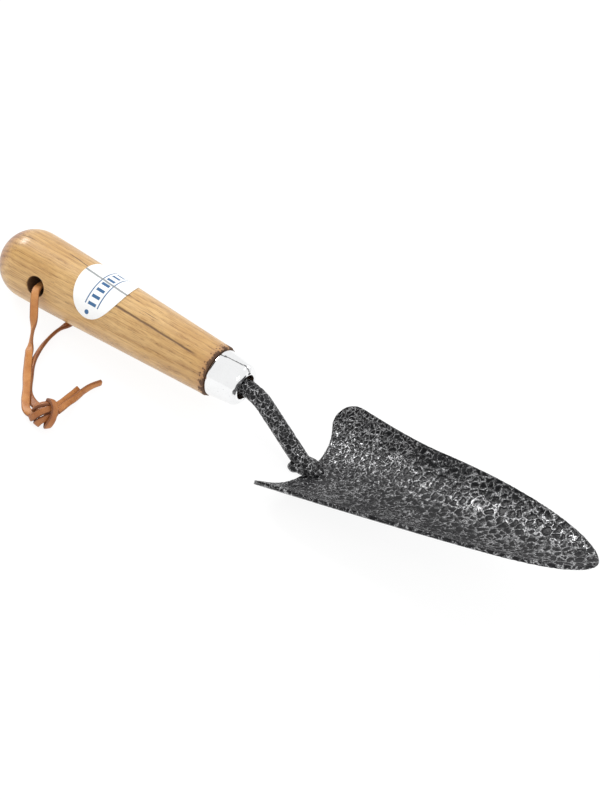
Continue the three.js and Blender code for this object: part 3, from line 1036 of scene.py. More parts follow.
@dataclass(frozen=True)
class Handle:
    """The turned ash handle, with its cross hole and the bore for the tang."""

    length: float = 128.5
    butt_radius: float = 17.0
    front_radius: float = 12.5
    fullness: float = 1.5
    barrel_end: float = 35.0
    shoulder: float = 2.8
    shoulder_drop: float = 0.7
    spigot: float = 11.0
    spigot_rear: float = 10.4
    spigot_front: float = 9.1
    slope: float = 12.2
    front: Flat = (-42.3, 36.0)
    roll: float = 12.0
    hole_from_butt: float = 31.3
    hole_radius: float = 4.8
    hole_rim: float = 5.5
    rim_depth: float = 1.3
    bore_radius: float = 4.3
    bore_depth: float = 62.3
    dome_steps: int = 20
    facets: int = 128

    def axis(self) -> Vector:
        """The direction from the butt to the ferrule, in the tool's frame."""
        slope = math.radians(self.slope)
        return Vector((math.cos(slope), 0.0, -math.sin(slope)))

    def matrix(self) -> Matrix:
        """The handle's own frame in the tool's: Y runs from the butt, the label is on Z."""
        along = self.axis()
        right = Vector((0.0, -1.0, 0.0))
        turn = Matrix((right, along, right.cross(along))).transposed().to_4x4()
        butt = Vector((self.front[0], 0.0, self.front[1])) - along * self.length
        return Matrix.Translation(butt) @ turn @ Matrix.Rotation(-math.radians(self.roll), 4, "Y")

    def barrel(self) -> list[Vector]:
        """The barrel's (radius, distance from the butt) points, dome to shoulder."""
        nose = self.length - self.shoulder
        return bezier(
            (self.butt_radius, self.butt_radius),
            (self.butt_radius, self.barrel_end),
            (self.front_radius + self.fullness, nose - self.barrel_end),
            (self.front_radius, nose),
        )

    def radius_at(self, along: float) -> float:
        """The barrel's radius.

        Args:
            along: Distance from the butt.

        Returns:
            The radius there.
        """
        points = self.barrel()
        for start, end in zip(points, points[1:]):
            if end.y >= along:
                return start.lerp(end, (along - start.y) / (end.y - start.y)).x
        return self.front_radius

    def build(self, where: Matrix, finish: bpy.types.Material) -> bpy.types.Object:
        """Turns, drills and dresses the handle.

        Args:
            where: The handle's place, in millimetres.
            finish: Its material.

        Returns:
            The piece.
        """
        dome = [self._dome(step / self.dome_steps) for step in range(self.dome_steps)]
        barrel = [(p.x, p.y) for p in self.barrel()]
        drop = self.front_radius - self.shoulder_drop
        shoulder = [(p.x, p.y) for p in bezier(
            (self.front_radius, self.length - self.shoulder),
            (self.front_radius, self.length - 0.6),
            (drop + 0.4, self.length),
            (drop, self.length),
        )[4::6]]
        front = [
            (self.spigot_rear, self.length),
            (self.spigot_front, self.length + self.spigot),
            (0.0, self.length + self.spigot),
        ]
        body = turned(dome + barrel[::2] + shoulder + front, self.facets)
        self._scorch(body)
        body = cut(body, self._drill())
        body = cut(body, self._bore())
        return hand_in(as_object("ash_handle", place(body, where), 35.0), finish, Slot.ASH, "handle")

    def _dome(self, share: float) -> Flat:
        """A point of the butt's dome, from the axis at 0 to the barrel at 1."""
        angle = share * math.pi / 2
        return self.butt_radius * math.sin(angle), self.butt_radius * (1 - math.cos(angle))

    def _scorch(self, body: bmesh.types.BMesh) -> None:
        """Roughens the shoulder, where the wood was burnt and forced up by the ferrule.

        Args:
            body: The turned body, in the handle's own frame.
        """
        for vert in body.verts:
            bare = vert.co.copy()
            near = ease(bare.y, self.length - 3.0, self.length - 0.8)
            out = Vector((bare.x, 0.0, bare.z))
            if near > 0.0 and out.length > self.spigot_rear + 0.5:
                lump = noise.noise(bare * 0.9) * 0.32 + noise.noise(bare * 2.3) * 0.16
                vert.co += out.normalized() * near * (lump + 0.05)

    def _drill(self) -> bmesh.types.BMesh:
        """The cross hole's tool, with rounded mouths, in the handle's own frame."""
        deep = self.radius_at(self.hole_from_butt)
        clear = 3.0
        mouth = bezier(
            (self.hole_rim + 0.5, deep + 0.3),
            (self.hole_rim - 0.2, deep - 0.1),
            (self.hole_radius, deep - 0.4),
            (self.hole_radius, deep - self.rim_depth - 0.6),
        )[::8]
        upper = [(0.0, deep + clear), (self.hole_rim + 0.9, deep + clear)] + [(p.x, p.y) for p in mouth]
        tool = turned(upper + [(radius, -along) for radius, along in reversed(upper)], 48)
        turn = Matrix.Translation((0.0, self.hole_from_butt, 0.0)) @ Matrix.Rotation(math.pi / 2, 4, "Z")
        bmesh.ops.transform(tool, matrix=turn, verts=tool.verts)
        return tool

    def _bore(self) -> bmesh.types.BMesh:
        """The tang's bore as a solid, in the handle's own frame."""
        mouth = self.length + self.spigot + 1.0
        return turned([
            (0.0, self.length - self.bore_depth),
            (1.3, self.length - self.bore_depth),
            (self.bore_radius, self.length - 9.0),
            (self.bore_radius, mouth),
            (0.0, mouth),
        ], 32)


@dataclass(frozen=True)
class Ferrule:
    """The chromed cup, its front edge rolled in round the neck with fine crimps."""

    rear_radius: float = 11.5
    front_radius: float = 10.2
    straight: float = 12.0
    nose: float = 3.6
    mouth: float = 6.2
    wall: float = 0.8
    gap: float = 0.3
    crimp: float = 0.13
    nose_steps: int = 14
    side_steps: int = 12
    facets: int = 180

    def build(self, handle: Handle, where: Matrix, finish: bpy.types.Material) -> bpy.types.Object:
        """Turns the cup and crimps its front.

        Args:
            handle: The handle that it is on.
            where: The handle's place, in millimetres.
            finish: Its material.

        Returns:
            The piece.
        """
        rear = handle.length + self.gap
        front = handle.length + self.straight
        roll = self.front_radius - self.nose
        lip = self.wall / 2
        shares = [step / self.nose_steps for step in range(self.nose_steps + 1)]
        outside = [self._nose(roll, front, self.nose, share) for share in shares]
        inside = [self._nose(roll, front, self.nose - self.wall, 1 - share) for share in shares]
        taper, run = self.front_radius - self.rear_radius, front - rear - lip
        side = [
            (self.rear_radius + taper * k / self.side_steps, rear + lip + run * k / self.side_steps)
            for k in range(self.side_steps)
        ]
        tip = [(self.mouth, front + self.nose - 0.1), (self.mouth - 0.15, front + self.nose - lip),
               (self.mouth, front + self.nose - self.wall + 0.1)]
        back = [(self.rear_radius - self.wall, rear + lip), (self.rear_radius - lip, rear)]
        body = turned([*side, *outside, *tip, *inside, *back], self.facets)
        self._wrinkle(body, front)
        return hand_in(as_object("chrome_ferrule", place(body, where), 60.0), finish, Slot.CHROME, "ferrule")

    @staticmethod
    def _nose(centre: float, front: float, radius: float, share: float) -> Flat:
        """A point of the rolled front, from the side at 0 to its face at 1."""
        angle = share * math.pi / 2
        return centre + radius * math.cos(angle), front + radius * math.sin(angle)

    def _wrinkle(self, body: bmesh.types.BMesh, front: float) -> None:
        """Presses crimps into the rolled front, and faint waves into the side.

        Args:
            body: The cup, in the handle's own frame.
            front: Where the roll starts.
        """
        for vert in body.verts:
            angle = math.atan2(vert.co.z, vert.co.x)
            deep = ease(vert.co.y, front - 1.0, front + 0.6 * self.nose)
            round_point = Vector((math.cos(angle), math.sin(angle), 0.0))
            uneven = noise.noise(round_point * 1.7)
            folds = math.sin(9 * angle + 4 * uneven) * (0.6 + uneven) + 0.2 * math.sin(16 * angle + 2)
            wave = 0.05 * noise.noise(Vector((round_point.x * 3, round_point.y * 3, vert.co.y * 0.18)))
            inwards = Vector((-round_point.x, 0.0, -round_point.y)) * 0.6 + Vector((0.0, -0.8, 0.0))
            vert.co += inwards * deep * self.crimp * folds
            vert.co += Vector((round_point.x, 0.0, round_point.y)) * wave * (1 - deep)


@dataclass(frozen=True)
class Blade:
    """The pressed steel trough, with two rounded ears and a notch between them."""

    sheet: float = 1.6
    rear_curvature: float = 1 / 51
    curvature_gain: float = 0.0146 / 140
    rocker: float = 3.9
    rocker_length: float = 100.0
    notch: float = 6.5
    notch_flat: float = 26.0
    ear: float = 31.0
    ear_inner: float = 6.0
    ear_outer: float = 5.5
    widest: Flat = (10.0, 39.7)
    widest_rear: float = 5.5
    widest_front: float = 2.5
    waist: Flat = (60.0, 30.8)
    waist_rear: float = 22.0
    waist_front: float = 62.0
    waist_slope: float = 0.1
    tip: float = 152.7
    nose: float = 8.4
    rim: float = 0.5
    rows: int = 170
    half_columns: int = 30

    def point(self, x: float, s: float, depth: float = 0.0) -> Vector:
        """A point of the blade in the tool's frame.

        Args:
            x: Distance forward.
            s: Distance across from the keel, along the sheet.
            depth: Distance below the inner face.

        Returns:
            The point.
        """
        radius = 1 / (self.rear_curvature + self.curvature_gain * x)
        angle = s / radius
        keel = self.rocker * (max(x, 0.0) / self.rocker_length) ** 2
        out = radius + depth
        return Vector((x, out * math.sin(angle), keel + radius - out * math.cos(angle)))

    def outline(self) -> tuple[Trail, Trail, Trail]:
        """Half of the flat outline, (x, s) points, cut at its two corners.

        Returns:
            The rear from the notch to the ear, the side, and the tip from its middle.
        """
        notch, ear, tip = (self.notch, 0.0), (0.0, self.ear), (self.tip, 0.0)
        widest, waist = self.widest, self.waist
        rise, fall = self.waist_slope * self.waist_rear, self.waist_slope * self.waist_front
        points = [
            *bezier(notch, (self.notch, self.notch_flat), (0.0, self.ear - self.ear_inner), ear),
            *bezier(
                ear, (0.0, self.ear + self.ear_outer),
                (widest[0] - self.widest_rear, widest[1]), widest,
            )[1:],
            *bezier(
                widest, (widest[0] + self.widest_front, widest[1]),
                (waist[0] - self.waist_rear, waist[1] + rise), waist,
            )[1:],
            *bezier(waist, (waist[0] + self.waist_front, waist[1] - fall), (self.tip, self.nose), tip)[1:],
        ]
        ear = CURVE_STEPS + CURVE_STEPS // 2
        tip = len(points) - CURVE_STEPS // 6
        return Trail(points[:ear + 1]), Trail(points[ear:tip + 1]), Trail(points[:tip - 1:-1])

    def build(self, where: Matrix, paint: HammeredPaint, finish: bpy.types.Material) -> bpy.types.Object:
        """Presses the sheet to shape, rounds its cut edge and paints it.

        Args:
            where: The tool's place, in millimetres.
            paint: The paint, for its relief.
            finish: Its material.

        Returns:
            The piece.
        """
        body = bmesh.new()
        bmesh.ops.create_grid(body, x_segments=self.rows, y_segments=2 * self.half_columns, size=1.0)
        rear, side, tip = self.outline()
        for vert in body.verts:
            x, s = self._spread((vert.co.x + 1) / 2, abs(vert.co.y), rear, side, tip)
            vert.co = self.point(x, math.copysign(s, vert.co.y))
        bmesh.ops.recalc_face_normals(body, faces=body.faces)
        if sum(face.normal.z for face in body.faces) > 0:
            bmesh.ops.reverse_faces(body, faces=body.faces)
        bmesh.ops.solidify(body, geom=body.faces, thickness=-self.sheet)
        bmesh.ops.recalc_face_normals(body, faces=body.faces)
        sharp = [edge for edge in body.edges if len(edge.link_faces) == 2 and edge.calc_face_angle() > 1.0]
        bmesh.ops.bevel(
            body, geom=sharp, offset=self.rim, offset_type="OFFSET", segments=2, profile=0.5,
            affect="EDGES", material=-1, clamp_overlap=True,
        )
        piece = as_object("pressed_blade", place(body, where), 60.0)
        smooth = piece.modifiers.new("smooth", "SUBSURF")
        smooth.levels = smooth.render_levels = 1
        settle_modifiers(piece)
        paint.relief(piece)
        return hand_in(piece, finish, Slot.PAINT, "blade")

    @staticmethod
    def _spread(along: float, across: float, rear: Trail, side: Trail, tip: Trail) -> Flat:
        """Fits the unit square to half of the outline.

        Args:
            along: 0 at the rear, 1 at the tip.
            across: 0 at the keel, 1 at the side.
            rear: The rear of the outline.
            side: Its side.
            tip: Its tip.

        Returns:
            The (x, s) point.
        """
        edge = side.at(along)
        back, nose = rear.at(across), tip.at(across)
        behind = (1 - along) ** 3
        ahead = along ** 12
        x = edge.x + (back.x - rear.at(1).x) * behind + (nose.x - tip.at(1).x) * ahead
        share = (1 - behind - ahead) * across
        share += behind * back.y / rear.at(1).y + ahead * nose.y / tip.at(1).y
        return x, edge.y * share


@dataclass(frozen=True)
class Neck:
    """The forged bar from its tang in the handle to its weld on the blade."""

    radius: float = 4.0
    fall: float = 51.0
    bend: float = 18.0
    foot: float = 5.0
    plain: float = 9.0
    tang: float = 62.0
    point: float = 1.0
    sides: int = 56
    bend_steps: int = 16
    taper_steps: int = 10
    step: float = 0.45
    sunk: float = 0.15
    clear: float = 0.4

    def run(self) -> Vector:
        """The direction of the straight run down to the blade."""
        fall = math.radians(self.fall)
        return Vector((math.cos(fall), 0.0, -math.sin(fall)))

    def line(self, handle: Handle, blade: Blade) -> Trail:
        """The bar's middle line, from the handle's shoulder to just above the blade.

        Args:
            handle: The handle that it leaves.
            blade: The blade that it ends on.

        Returns:
            The line, in the tool's frame.
        """
        axis, run = handle.axis(), self.run()
        start = Vector((handle.front[0], 0.0, handle.front[1]))
        foot = blade.point(self.foot, 0.0)
        gap = foot - start
        along = (gap.x * run.z - gap.z * run.x) / (axis.x * run.z - axis.z * run.x)
        corner = start + axis * along
        turn = axis.angle(run)
        trim = self.bend * math.tan(turn / 2)
        bend_in = corner - axis * trim
        inward = (run - axis * axis.dot(run)).normalized()
        points = [start - axis * self.plain]
        for k in range(self.bend_steps + 1):
            angle = turn * k / self.bend_steps
            ahead = axis * self.bend * math.sin(angle)
            points.append(bend_in + ahead + inward * self.bend * (1 - math.cos(angle)))
        points.append(foot + run * 0.4)
        return Trail(points)

    def build(
        self, handle: Handle, blade: Blade, where: Matrix, paint: HammeredPaint, finish: bpy.types.Material
    ) -> bpy.types.Object:
        """Sweeps the bar with its tapering tang.

        Args:
            handle: The handle that it leaves.
            blade: The blade that it ends on.
            where: The tool's place, in millimetres.
            paint: The paint, for its relief.
            finish: Its material.

        Returns:
            The piece.
        """
        line = self.line(handle, blade)
        steps = round(line.length / self.step)
        stations = facing_stations(line, steps, [(0.0, (0, 1, 0)), (1.0, (0, 1, 0))])
        taper = []
        rear = self.tang - self.plain
        for k in range(self.taper_steps):
            share = k / self.taper_steps
            width = (self.point + (self.radius - self.point) * share) / self.radius
            back = Matrix.Translation((0.0, 0.0, -rear * (1 - share)))
            taper.append(stations[0] @ back @ Matrix.Diagonal((width, width, 1.0, 1.0)))
        angles = [2 * math.pi * k / self.sides for k in range(self.sides)]
        section = [(self.radius * math.cos(angle), self.radius * math.sin(angle)) for angle in angles]
        body = swept(section, taper + stations)
        for vert in body.verts:
            if vert.co.x > blade.notch - self.radius:
                vert.co.z = max(vert.co.z, blade.point(max(vert.co.x, blade.notch), vert.co.y).z + self.sunk)
        place(body, where)
        keep_above(body, self.clear * METRES)
        piece = as_object("neck_bar", body, 50.0)
        paint.relief(piece)
        return hand_in(piece, finish, Slot.PAINT, "neck")


@dataclass(frozen=True)
class Weld:
    """The lumpy bead that joins the neck's foot to the blade."""

    beads: tuple[tuple[Point, Point], ...] = (
        ((4.6, 0.0, 1.6), (7.4, 5.6, 3.6)),
        ((0.6, -3.4, 1.5), (3.2, 2.8, 2.6)),
        ((1.2, 3.2, 1.6), (3.4, 2.8, 2.8)),
        ((7.4, -3.0, 1.2), (3.8, 3.0, 2.3)),
        ((8.4, 2.6, 1.2), (3.6, 3.0, 2.1)),
        ((10.6, 0.0, 0.8), (3.0, 3.2, 1.5)),
        ((-0.8, 0.2, 2.2), (2.4, 3.0, 3.2)),
    )
    voxel: float = 0.4
    smoothings: int = 4
    sunk: float = 0.15
    clear: float = 0.4

    def build(
        self, blade: Blade, where: Matrix, paint: HammeredPaint, finish: bpy.types.Material
    ) -> bpy.types.Object:
        """Runs the beads together and presses them on to the blade.

        Args:
            blade: The blade under them.
            where: The tool's place, in millimetres.
            paint: The paint, for its relief.
            finish: Its material.

        Returns:
            The piece.
        """
        body = bmesh.new()
        for centre, radii in self.beads:
            size = Matrix.Translation(centre) @ Matrix.Diagonal((*radii, 1.0))
            bmesh.ops.create_icosphere(body, subdivisions=3, radius=1.0, matrix=size)
        piece = as_object("weld_bead", body)
        fuse = piece.modifiers.new("fuse", "REMESH")
        fuse.mode = "VOXEL"
        fuse.voxel_size = self.voxel
        settle_modifiers(piece)
        body = bmesh.new()
        body.from_mesh(piece.data)
        bpy.data.objects.remove(piece)
        for _ in range(self.smoothings):
            bmesh.ops.smooth_vert(
                body, verts=body.verts, factor=0.5, use_axis_x=True, use_axis_y=True, use_axis_z=True
            )
        for vert in body.verts:
            floor = blade.point(max(vert.co.x, blade.notch), vert.co.y).z + self.sunk
            if vert.co.x < blade.notch:
                floor = min(floor, vert.co.z) if vert.co.z > -blade.sheet else -blade.sheet
            vert.co.z = max(vert.co.z, floor)
        place(body, where)
        keep_above(body, self.clear * METRES)
        piece = as_object("weld_bead", body, 60.0)
        paint.relief(piece)
        return hand_in(piece, finish, Slot.PAINT, "weld")


@dataclass(frozen=True)
class Label:
    """The oval vinyl sticker wrapped round the barrel, long way round."""

    width: float = 25.6
    length: float = 41.0
    centre: float = 61.8
    turn: float = 18.5
    thickness: float = 0.2
    gap: float = 0.12
    rows: int = 96
    columns: int = 44

    def build(self, handle: Handle, where: Matrix, finish: bpy.types.Material) -> bpy.types.Object:
        """Cuts the sticker out and wraps it on.

        Args:
            handle: The handle that it is on.
            where: The handle's place, in millimetres.
            finish: Its material.

        Returns:
            The piece.
        """
        body = bmesh.new()
        bmesh.ops.create_grid(body, x_segments=self.rows, y_segments=self.columns, size=1.0, calc_uvs=True)
        uv = body.loops.layers.uv.verify()
        flat = {}
        for vert in body.verts:
            lean = vert.co.x * math.pi / 2
            flat[vert] = (self.length / 2 * math.sin(lean), vert.co.y * self.width / 2 * math.cos(lean))
        for face in body.faces:
            for loop in face.loops:
                loop[uv].uv = Vector(flat[loop.vert]) / UV_SPAN
        reach = handle.radius_at(self.centre)
        for vert, (around, along) in flat.items():
            station = self.centre + along
            radius = handle.radius_at(station) + self.gap
            angle = math.radians(self.turn) + around / reach
            vert.co = Vector((radius * math.sin(angle), station, radius * math.cos(angle)))
        bmesh.ops.remove_doubles(body, verts=body.verts, dist=1e-3)
        outward = sum(face.normal.dot(Vector((face.calc_center_median().x, 0, face.calc_center_median().z)))
                      for face in body.faces)
        if outward > 0:
            bmesh.ops.reverse_faces(body, faces=body.faces)
        bmesh.ops.solidify(body, geom=body.faces, thickness=self.thickness)
        bmesh.ops.recalc_face_normals(body, faces=body.faces)
        return hand_in(as_object("vinyl_label", place(body, where), 50.0), finish, Slot.VINYL, "label")


# ---- the thong ---------------------------------------------------------------


@dataclass(frozen=True)
class Thong:
    """One flat leather lace: through the handle's cross hole, its ends tied in one knot.

    The routes are the middle of the lace, in millimetres on the ground. facing says
    which way its wide face looks, by the share of each route.
    """

    width: float = 3.8
    tail_width: float = 3.0
    knot_width: float = 3.2
    thickness: float = 1.7
    lowest: float = 0.03
    mouth_near: Point = (-130.7, -16.6, 21.3)
    mouth_far: Point = (-130.3, 16.6, 14.3)
    near: tuple[Point, ...] = (
        (-130.4, -0.2, 17.84), (-130.5, -7, 19.3), (-130.2, -13, 20.6), (-128.9, -17.6, 20.9),
        (-126.6, -20.9, 18.5), (-125.2, -22.2, 14.6), (-124.2, -23, 10.4), (-123, -24.2, 6.6),
        (-121, -27, 3.8), (-117.8, -31.5, 2.6), (-111.6, -39.6, 2.9), (-104.7, -47.9, 3.2),
        (-98.2, -55.4, 3.2), (-92.6, -62, 3), (-89, -65.3, 3.1), (-85.6, -66.1, 3.6), (-81.8, -64.4, 4.8),
    )
    near_facing: tuple[tuple[float, Point], ...] = (
        (0.0, (-0.3, 0.2, 1)), (0.18, (0, -0.3, 1)), (0.27, (0.6, -0.7, 0.6)), (0.42, (-0.9, -0.45, 0.1)),
        (0.56, (0.3, -0.2, 1)), (0.85, (0, 0, 1)), (1.0, (-0.3, -0.5, 0.8)),
    )
    far: tuple[Point, ...] = (
        (-130.4, 0.2, 17.76), (-130.4, 8, 16.1), (-130.3, 15.5, 14.5), (-130, 20, 12.8),
        (-129.1, 23.2, 9.6), (-127.6, 23.4, 5.6), (-125.4, 20.6, 2.5), (-122.6, 15, 1.3),
        (-119.2, 7.5, 1.1), (-116.9, -1, 1.1), (-116.7, -7.8, 1.4), (-116.6, -13.8, 2),
        (-115.5, -21.2, 2.2), (-113.7, -28.2, 2.1), (-111.3, -34.6, 1.9), (-108.1, -41.2, 1.6),
        (-102.8, -48.5, 1.4), (-96.2, -55.7, 1.4), (-90.5, -59, 2.1), (-84, -60.5, 3.6),
    )
    far_facing: tuple[tuple[float, Point], ...] = (
        (0.0, (0, 0.3, 1)), (0.16, (0, 0.5, 0.9)), (0.24, (-0.9, 0.6, 0.2)), (0.31, (-0.2, 0.1, 1)),
        (0.455, (0, 0, 1)), (0.55, (-0.88, 0, 0.47)), (0.7, (-0.8, -0.3, 0.6)), (0.82, (-0.2, -0.1, 1)),
        (1.0, (-0.2, -0.3, 1)),
    )
    short_tail: tuple[Point, ...] = (
        (-80.2, -58, 5.4), (-80.8, -50.6, 4.2), (-81.9, -44, 3), (-83.2, -36.9, 1.8),
    )
    short_facing: tuple[tuple[float, Point], ...] = ((0.0, (0.2, -0.4, 1)), (1.0, (0.5, -0.4, 0.8)))
    long_tail: tuple[Point, ...] = (
        (-77.2, -58, 5.4), (-78.2, -50.5, 4.6), (-78.7, -44.3, 4), (-79.9, -36.9, 3), (-80, -30.6, 2.2),
        (-79, -26, 1.9),
    )
    long_facing: tuple[tuple[float, Point], ...] = (
        (0.0, (0.2, -0.4, 1)), (0.5, (0.8, -0.3, 0.6)), (1.0, (0.95, 0.2, -0.1)),
    )
    knot_centre: Point = (-79.7, -63.4, 6.1)

    def build(
        self, leather: bpy.types.Material, shade_and_flesh: bpy.types.Material, tails_finish: bpy.types.Material
    ) -> list[bpy.types.Object]:
        """Args:
            leather: The finish of the near half.
            shade_and_flesh: The darker finish: painted shade on the knot, and on the half whose back shows,
                painted shade over its darker flesh side.
            tails_finish: The finish of the tails, darker than the near half and lighter than the knot.

        Returns:
            The pieces.
        """
        knot = self._knot(shade_and_flesh)
        tails = [
            self._strip(f"lace_{tail}", route, facing, tails_finish, f"thong_{tail}", self.tail_width)
            for tail, route, facing in (
                ("tail_short", self.short_tail, self.short_facing),
                ("tail_long", self.long_tail, self.long_facing),
            )
        ]
        halves = []
        for name, route, facing, mouth, finish, node in (
            ("lace_near", self.near, self.near_facing, self.mouth_near, leather, "thong_near"),
            ("lace_far", self.far, self.far_facing, self.mouth_far, shade_and_flesh, "thong_far"),
        ):
            strip = self._strip(name, route, facing, finish, node)
            trail = through(route)
            path = [point * METRES for point in trail.spaced(60)]
            Vector(mouth) * METRES
            LOG.info("%s: %.1f mm", name, trail.length)
            halves.append(strip)
        return [*halves, knot, *tails]

    def _section(self, width: float, thickness: float) -> list[Flat]:
        """The lace's rounded section.

        Args:
            width: Its width.
            thickness: Its thickness.

        Returns:
            The corners, in order.
        """
        sides = 20
        corners = []
        for k in range(sides):
            angle = 2 * math.pi * k / sides
            across = math.copysign(abs(math.cos(angle)) ** 0.45, math.cos(angle))
            out = math.copysign(abs(math.sin(angle)) ** 0.6, math.sin(angle))
            corners.append((across * width / 2, out * thickness / 2))
        return corners

    def _sweep(
        self, route: Sequence[Point], facing: Sequence[tuple[float, Point]], width: float = 0.0
    ) -> bmesh.types.BMesh:
        """Sweeps the lace along a route, a little uneven as cut leather is.

        Args:
            route: The points of its middle.
            facing: Where its wide face looks.
            width: The lace's width there, or 0 for its usual one.

        Returns:
            The swept body, in millimetres.
        """
        trail = through(route)
        steps = max(round(trail.length / 0.7), 8)
        stations = facing_stations(trail, steps, facing)
        shaped = []
        for station in stations:
            swell = 1 + 0.10 * noise.noise(station.translation * 0.16)
            thin = 1 + 0.14 * noise.noise(station.translation * 0.21 + Vector((7, 3, 1)))
            shaped.append(station @ Matrix.Diagonal((swell, thin, 1.0, 1.0)))
        return swept(self._section(width or self.width, self.thickness), shaped)

    def _strip(
        self, name: str, route: Sequence[Point], facing: Sequence[tuple[float, Point]],
        leather: bpy.types.Material, node: str, width: float = 0.0,
    ) -> bpy.types.Object:
        """One stretch of lace as a piece.

        Args:
            name: The piece's name.
            route: The points of its middle.
            facing: Where its wide face looks.
            leather: Its material.
            node: The CAD node that it stands for.
            width: The lace's width there, or 0 for its usual one.

        Returns:
            The piece.
        """
        body = self._settle(self._sweep(route, facing, width))
        return hand_in(as_object(name, body, 55.0), leather, Slot.LEATHER, node)

    def _settle(self, body: bmesh.types.BMesh) -> bmesh.types.BMesh:
        """Presses a body flat where it would pass into the ground, and puts it in place.

        Args:
            body: The body, in millimetres on the ground.

        Returns:
            The same body, in metres.
        """
        for vert in body.verts:
            vert.co.z = max(vert.co.z, self.lowest)
        return place(body, Matrix.Identity(4))

    def _knot(self, leather: bpy.types.Material) -> bpy.types.Object:
        """The overhand knot, as the turns of lace that show and the core under them.

        Args:
            leather: Its material.

        Returns:
            The piece.
        """
        knot = bmesh.new()
        centre = Vector(self.knot_centre)
        for route in KNOT_TURNS:
            points = [tuple(centre + KNOT_VIEW @ Vector(point)) for point in route]
            faces = []
            for k in range(len(points)):
                share = k / (len(points) - 1)
                out = KNOT_VIEW @ Vector(route[k])
                faces.append((share, tuple(out)))
            turn = self._sweep(points, faces, self.knot_width)
            mesh = bpy.data.meshes.new("turn")
            turn.to_mesh(mesh)
            turn.free()
            knot.from_mesh(mesh)
            bpy.data.meshes.remove(mesh)
        return hand_in(as_object("lace_knot", self._settle(knot), 55.0), leather, Slot.LEATHER, "thong_knot")


# The knot's turns, from its centre: X to the right and Y up as one looks down on the
# tied side of it, Z towards the eye.
KNOT_VIEW = Matrix(((0.95, -0.31, 0.05), (0.24, 0.62, -0.74), (0.2, 0.72, 0.66)))
KNOT_TURNS: tuple[tuple[Point, ...], ...] = (
    ((-0.6, 4.6, -2.6), (0.6, 6.0, 0.4), (3.4, 5.6, 2.6), (5.6, 2.6, 3.4), (5.6, -1.6, 3.2), (3.6, -5.2, 1.6),
     (1.6, -5.6, -1.6), (0.6, -4.0, -3.4)),
    ((-6.6, -1.6, -1.6), (-6.0, -3.6, 0.8), (-3.6, -2.6, 3.0), (-0.6, -0.2, 3.8), (2.2, 2.0, 2.6),
     (4.0, 3.2, 0.4)),
    ((-3.6, -4.6, -1.8), (-2.6, -5.6, 0.6), (-0.4, -4.0, 2.6), (2.4, -1.8, 2.4), (4.2, -0.4, 0.6)),
    ((-6.4, 0.6, -1.0), (-4.6, 1.6, 1.6), (-1.6, 3.4, 2.4), (1.4, 4.6, 1.4), (3.4, 4.6, -0.6)),
    ((-5.0, -1.0, -2.4), (-1.0, 0.6, -1.0), (3.0, 1.2, -1.6), (5.0, 0.6, -2.6)),
)


# ---- the studio --------------------------------------------------------------


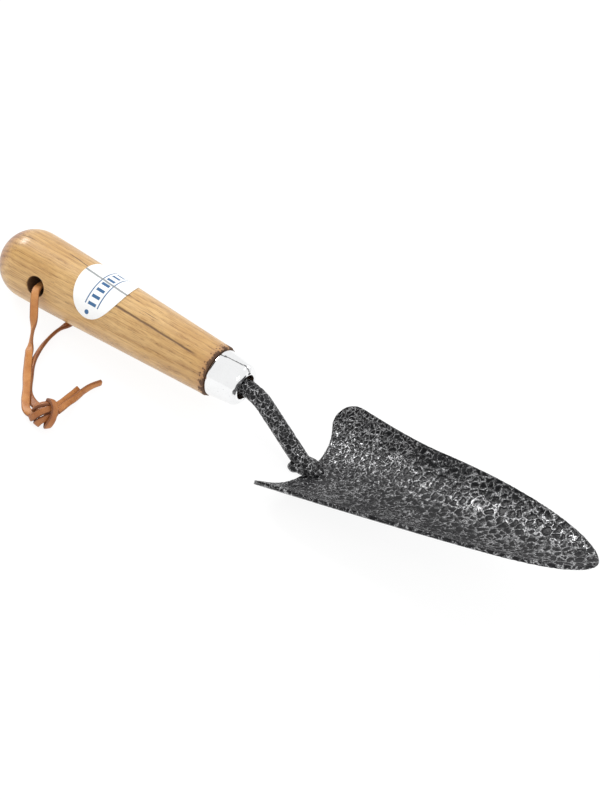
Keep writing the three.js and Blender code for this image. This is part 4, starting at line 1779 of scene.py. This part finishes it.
@dataclass(frozen=True)
class Studio:
    """A pale floor, soft light and the camera."""

    camera: Point = (315.3, -572.25, 608.46)
    azimuth: float = 28.06
    elevation: float = 41.44
    roll: float = 13.08
    lens: float = 88.3
    floor: float = 6000.0
    floor_glow: float = 0.9
    room: Colour = (0.97, 0.97, 0.97)
    doorway: Point = (-0.82, -0.28, 0.5)
    doorway_dark: Colour = (0.06, 0.06, 0.06)
    # Each lamp's place, size and power, in metres and watts.
    lamps: tuple[tuple[str, Point, float, float], ...] = (
        ("key", (-1.25, 0.2, 0.95), 0.45, 11.0),
        ("fill", (1.19, -0.34, 1.16), 0.4, 4.0),
        ("back", (0.3, 1.9, 1.1), 0.8, 4.0),
    )

    def stand_camera(self) -> None:
        """Makes the camera and gives it to the scene."""
        azimuth, elevation, roll = (math.radians(a) for a in (self.azimuth, self.elevation, self.roll))
        level = Vector((math.cos(azimuth), math.sin(azimuth), 0.0))
        outward = Vector((math.sin(azimuth), -math.cos(azimuth), 0.0))
        back = outward * math.cos(elevation) + Vector((0.0, 0.0, math.sin(elevation)))
        upright = back.cross(level)
        right = level * math.cos(roll) + upright * math.sin(roll)
        up = upright * math.cos(roll) - level * math.sin(roll)
        data = bpy.data.cameras.new("camera")
        data.lens = self.lens
        data.sensor_width = 36.0
        data.clip_start, data.clip_end = 0.01, 50.0
        camera = bpy.data.objects.new("camera", data)
        turn = Matrix((right, up, back)).transposed().to_4x4()
        camera.matrix_world = Matrix.Translation(Vector(self.camera) * METRES) @ turn
        bpy.context.scene.collection.objects.link(camera)
        bpy.context.scene.camera = camera

    def lay_floor(self) -> None:
        """Lays the plain pale floor."""
        made, graph, shader = material("studio_floor")
        cloud = graph.noise(graph.millimetres(), 0.004, 2.0).outputs[0]
        colour = graph.mix(cloud, (0.12, 0.12, 0.12), (0.14, 0.14, 0.14))
        graph.tree.links.new(colour, shader.inputs["Base Color"])
        shader.inputs["Roughness"].default_value = 0.9
        shader.inputs["Specular IOR Level"].default_value = 0.0
        shader.inputs["Emission Color"].default_value = (1.0, 1.0, 1.0, 1.0)
        shader.inputs["Emission Strength"].default_value = self.floor_glow
        body = bmesh.new()
        bmesh.ops.create_grid(body, x_segments=1, y_segments=1, size=self.floor * METRES / 2)
        floor = as_object("studio_floor", body)
        floor.data.materials.append(made)

    def light(self) -> None:
        """Lights the scene softly: a white room with one dark doorway, and three soft lamps."""
        world = bpy.data.worlds.new("studio")
        bpy.context.scene.world = world
        world.use_nodes = True
        world.node_tree.nodes.clear()
        graph = Graph(world.node_tree)
        towards = graph.node("ShaderNodeTexCoord").outputs["Generated"]
        facing = graph.node("ShaderNodeVectorMath", {0: towards, 1: Vector(self.doorway).normalized()},
                            operation="DOT_PRODUCT").outputs["Value"]
        tone = graph.mix(graph.rise(facing, 0.87, 0.93), self.room, self.doorway_dark)
        sky = graph.node("ShaderNodeBackground", {"Color": tone, "Strength": 1.0})
        graph.node("ShaderNodeOutputWorld", {"Surface": sky.outputs[0]})
        for name, at, size, power in self.lamps:
            data = bpy.data.lights.new(name, "AREA")
            data.shape = "SQUARE"
            data.size = size
            data.energy = power
            lamp = bpy.data.objects.new(name, data)
            lamp.location = at
            lamp.rotation_euler = (-Vector(at)).to_track_quat("-Z", "Y").to_euler()
            bpy.context.scene.collection.objects.link(lamp)
        bpy.context.scene.view_settings.view_transform = "Standard"


def main() -> None:
    """Builds the scene, piece by piece."""
    studio = Studio()
    studio.stand_camera()
    effects = Effects()
    Thong().build(Leather().make(effects), SHADE_AND_FLESH_LEATHER.make(effects), TAIL_LEATHER.make(effects))
    lie = Lie().matrix()
    handle, ferrule, blade = Handle(), Ferrule(), Blade()
    on_handle = lie @ handle.matrix()
    hole = (handle.hole_from_butt, handle.hole_radius)
    handle.build(on_handle, Ash().make(effects, on_handle, handle.length, hole))
    ferrule.build(handle, on_handle, Chrome().make(effects, on_handle))
    paint = HammeredPaint()
    painted = paint.make(effects)
    blade.build(lie, paint, painted)
    Neck().build(handle, blade, lie, paint, painted)
    Weld().build(blade, lie, paint, painted)
    Label().build(handle, on_handle, Vinyl().make(effects))
    studio.lay_floor()
    studio.light()


if __name__ == "__main__":
    logging.basicConfig(level=logging.INFO, format="%(message)s")
    main()
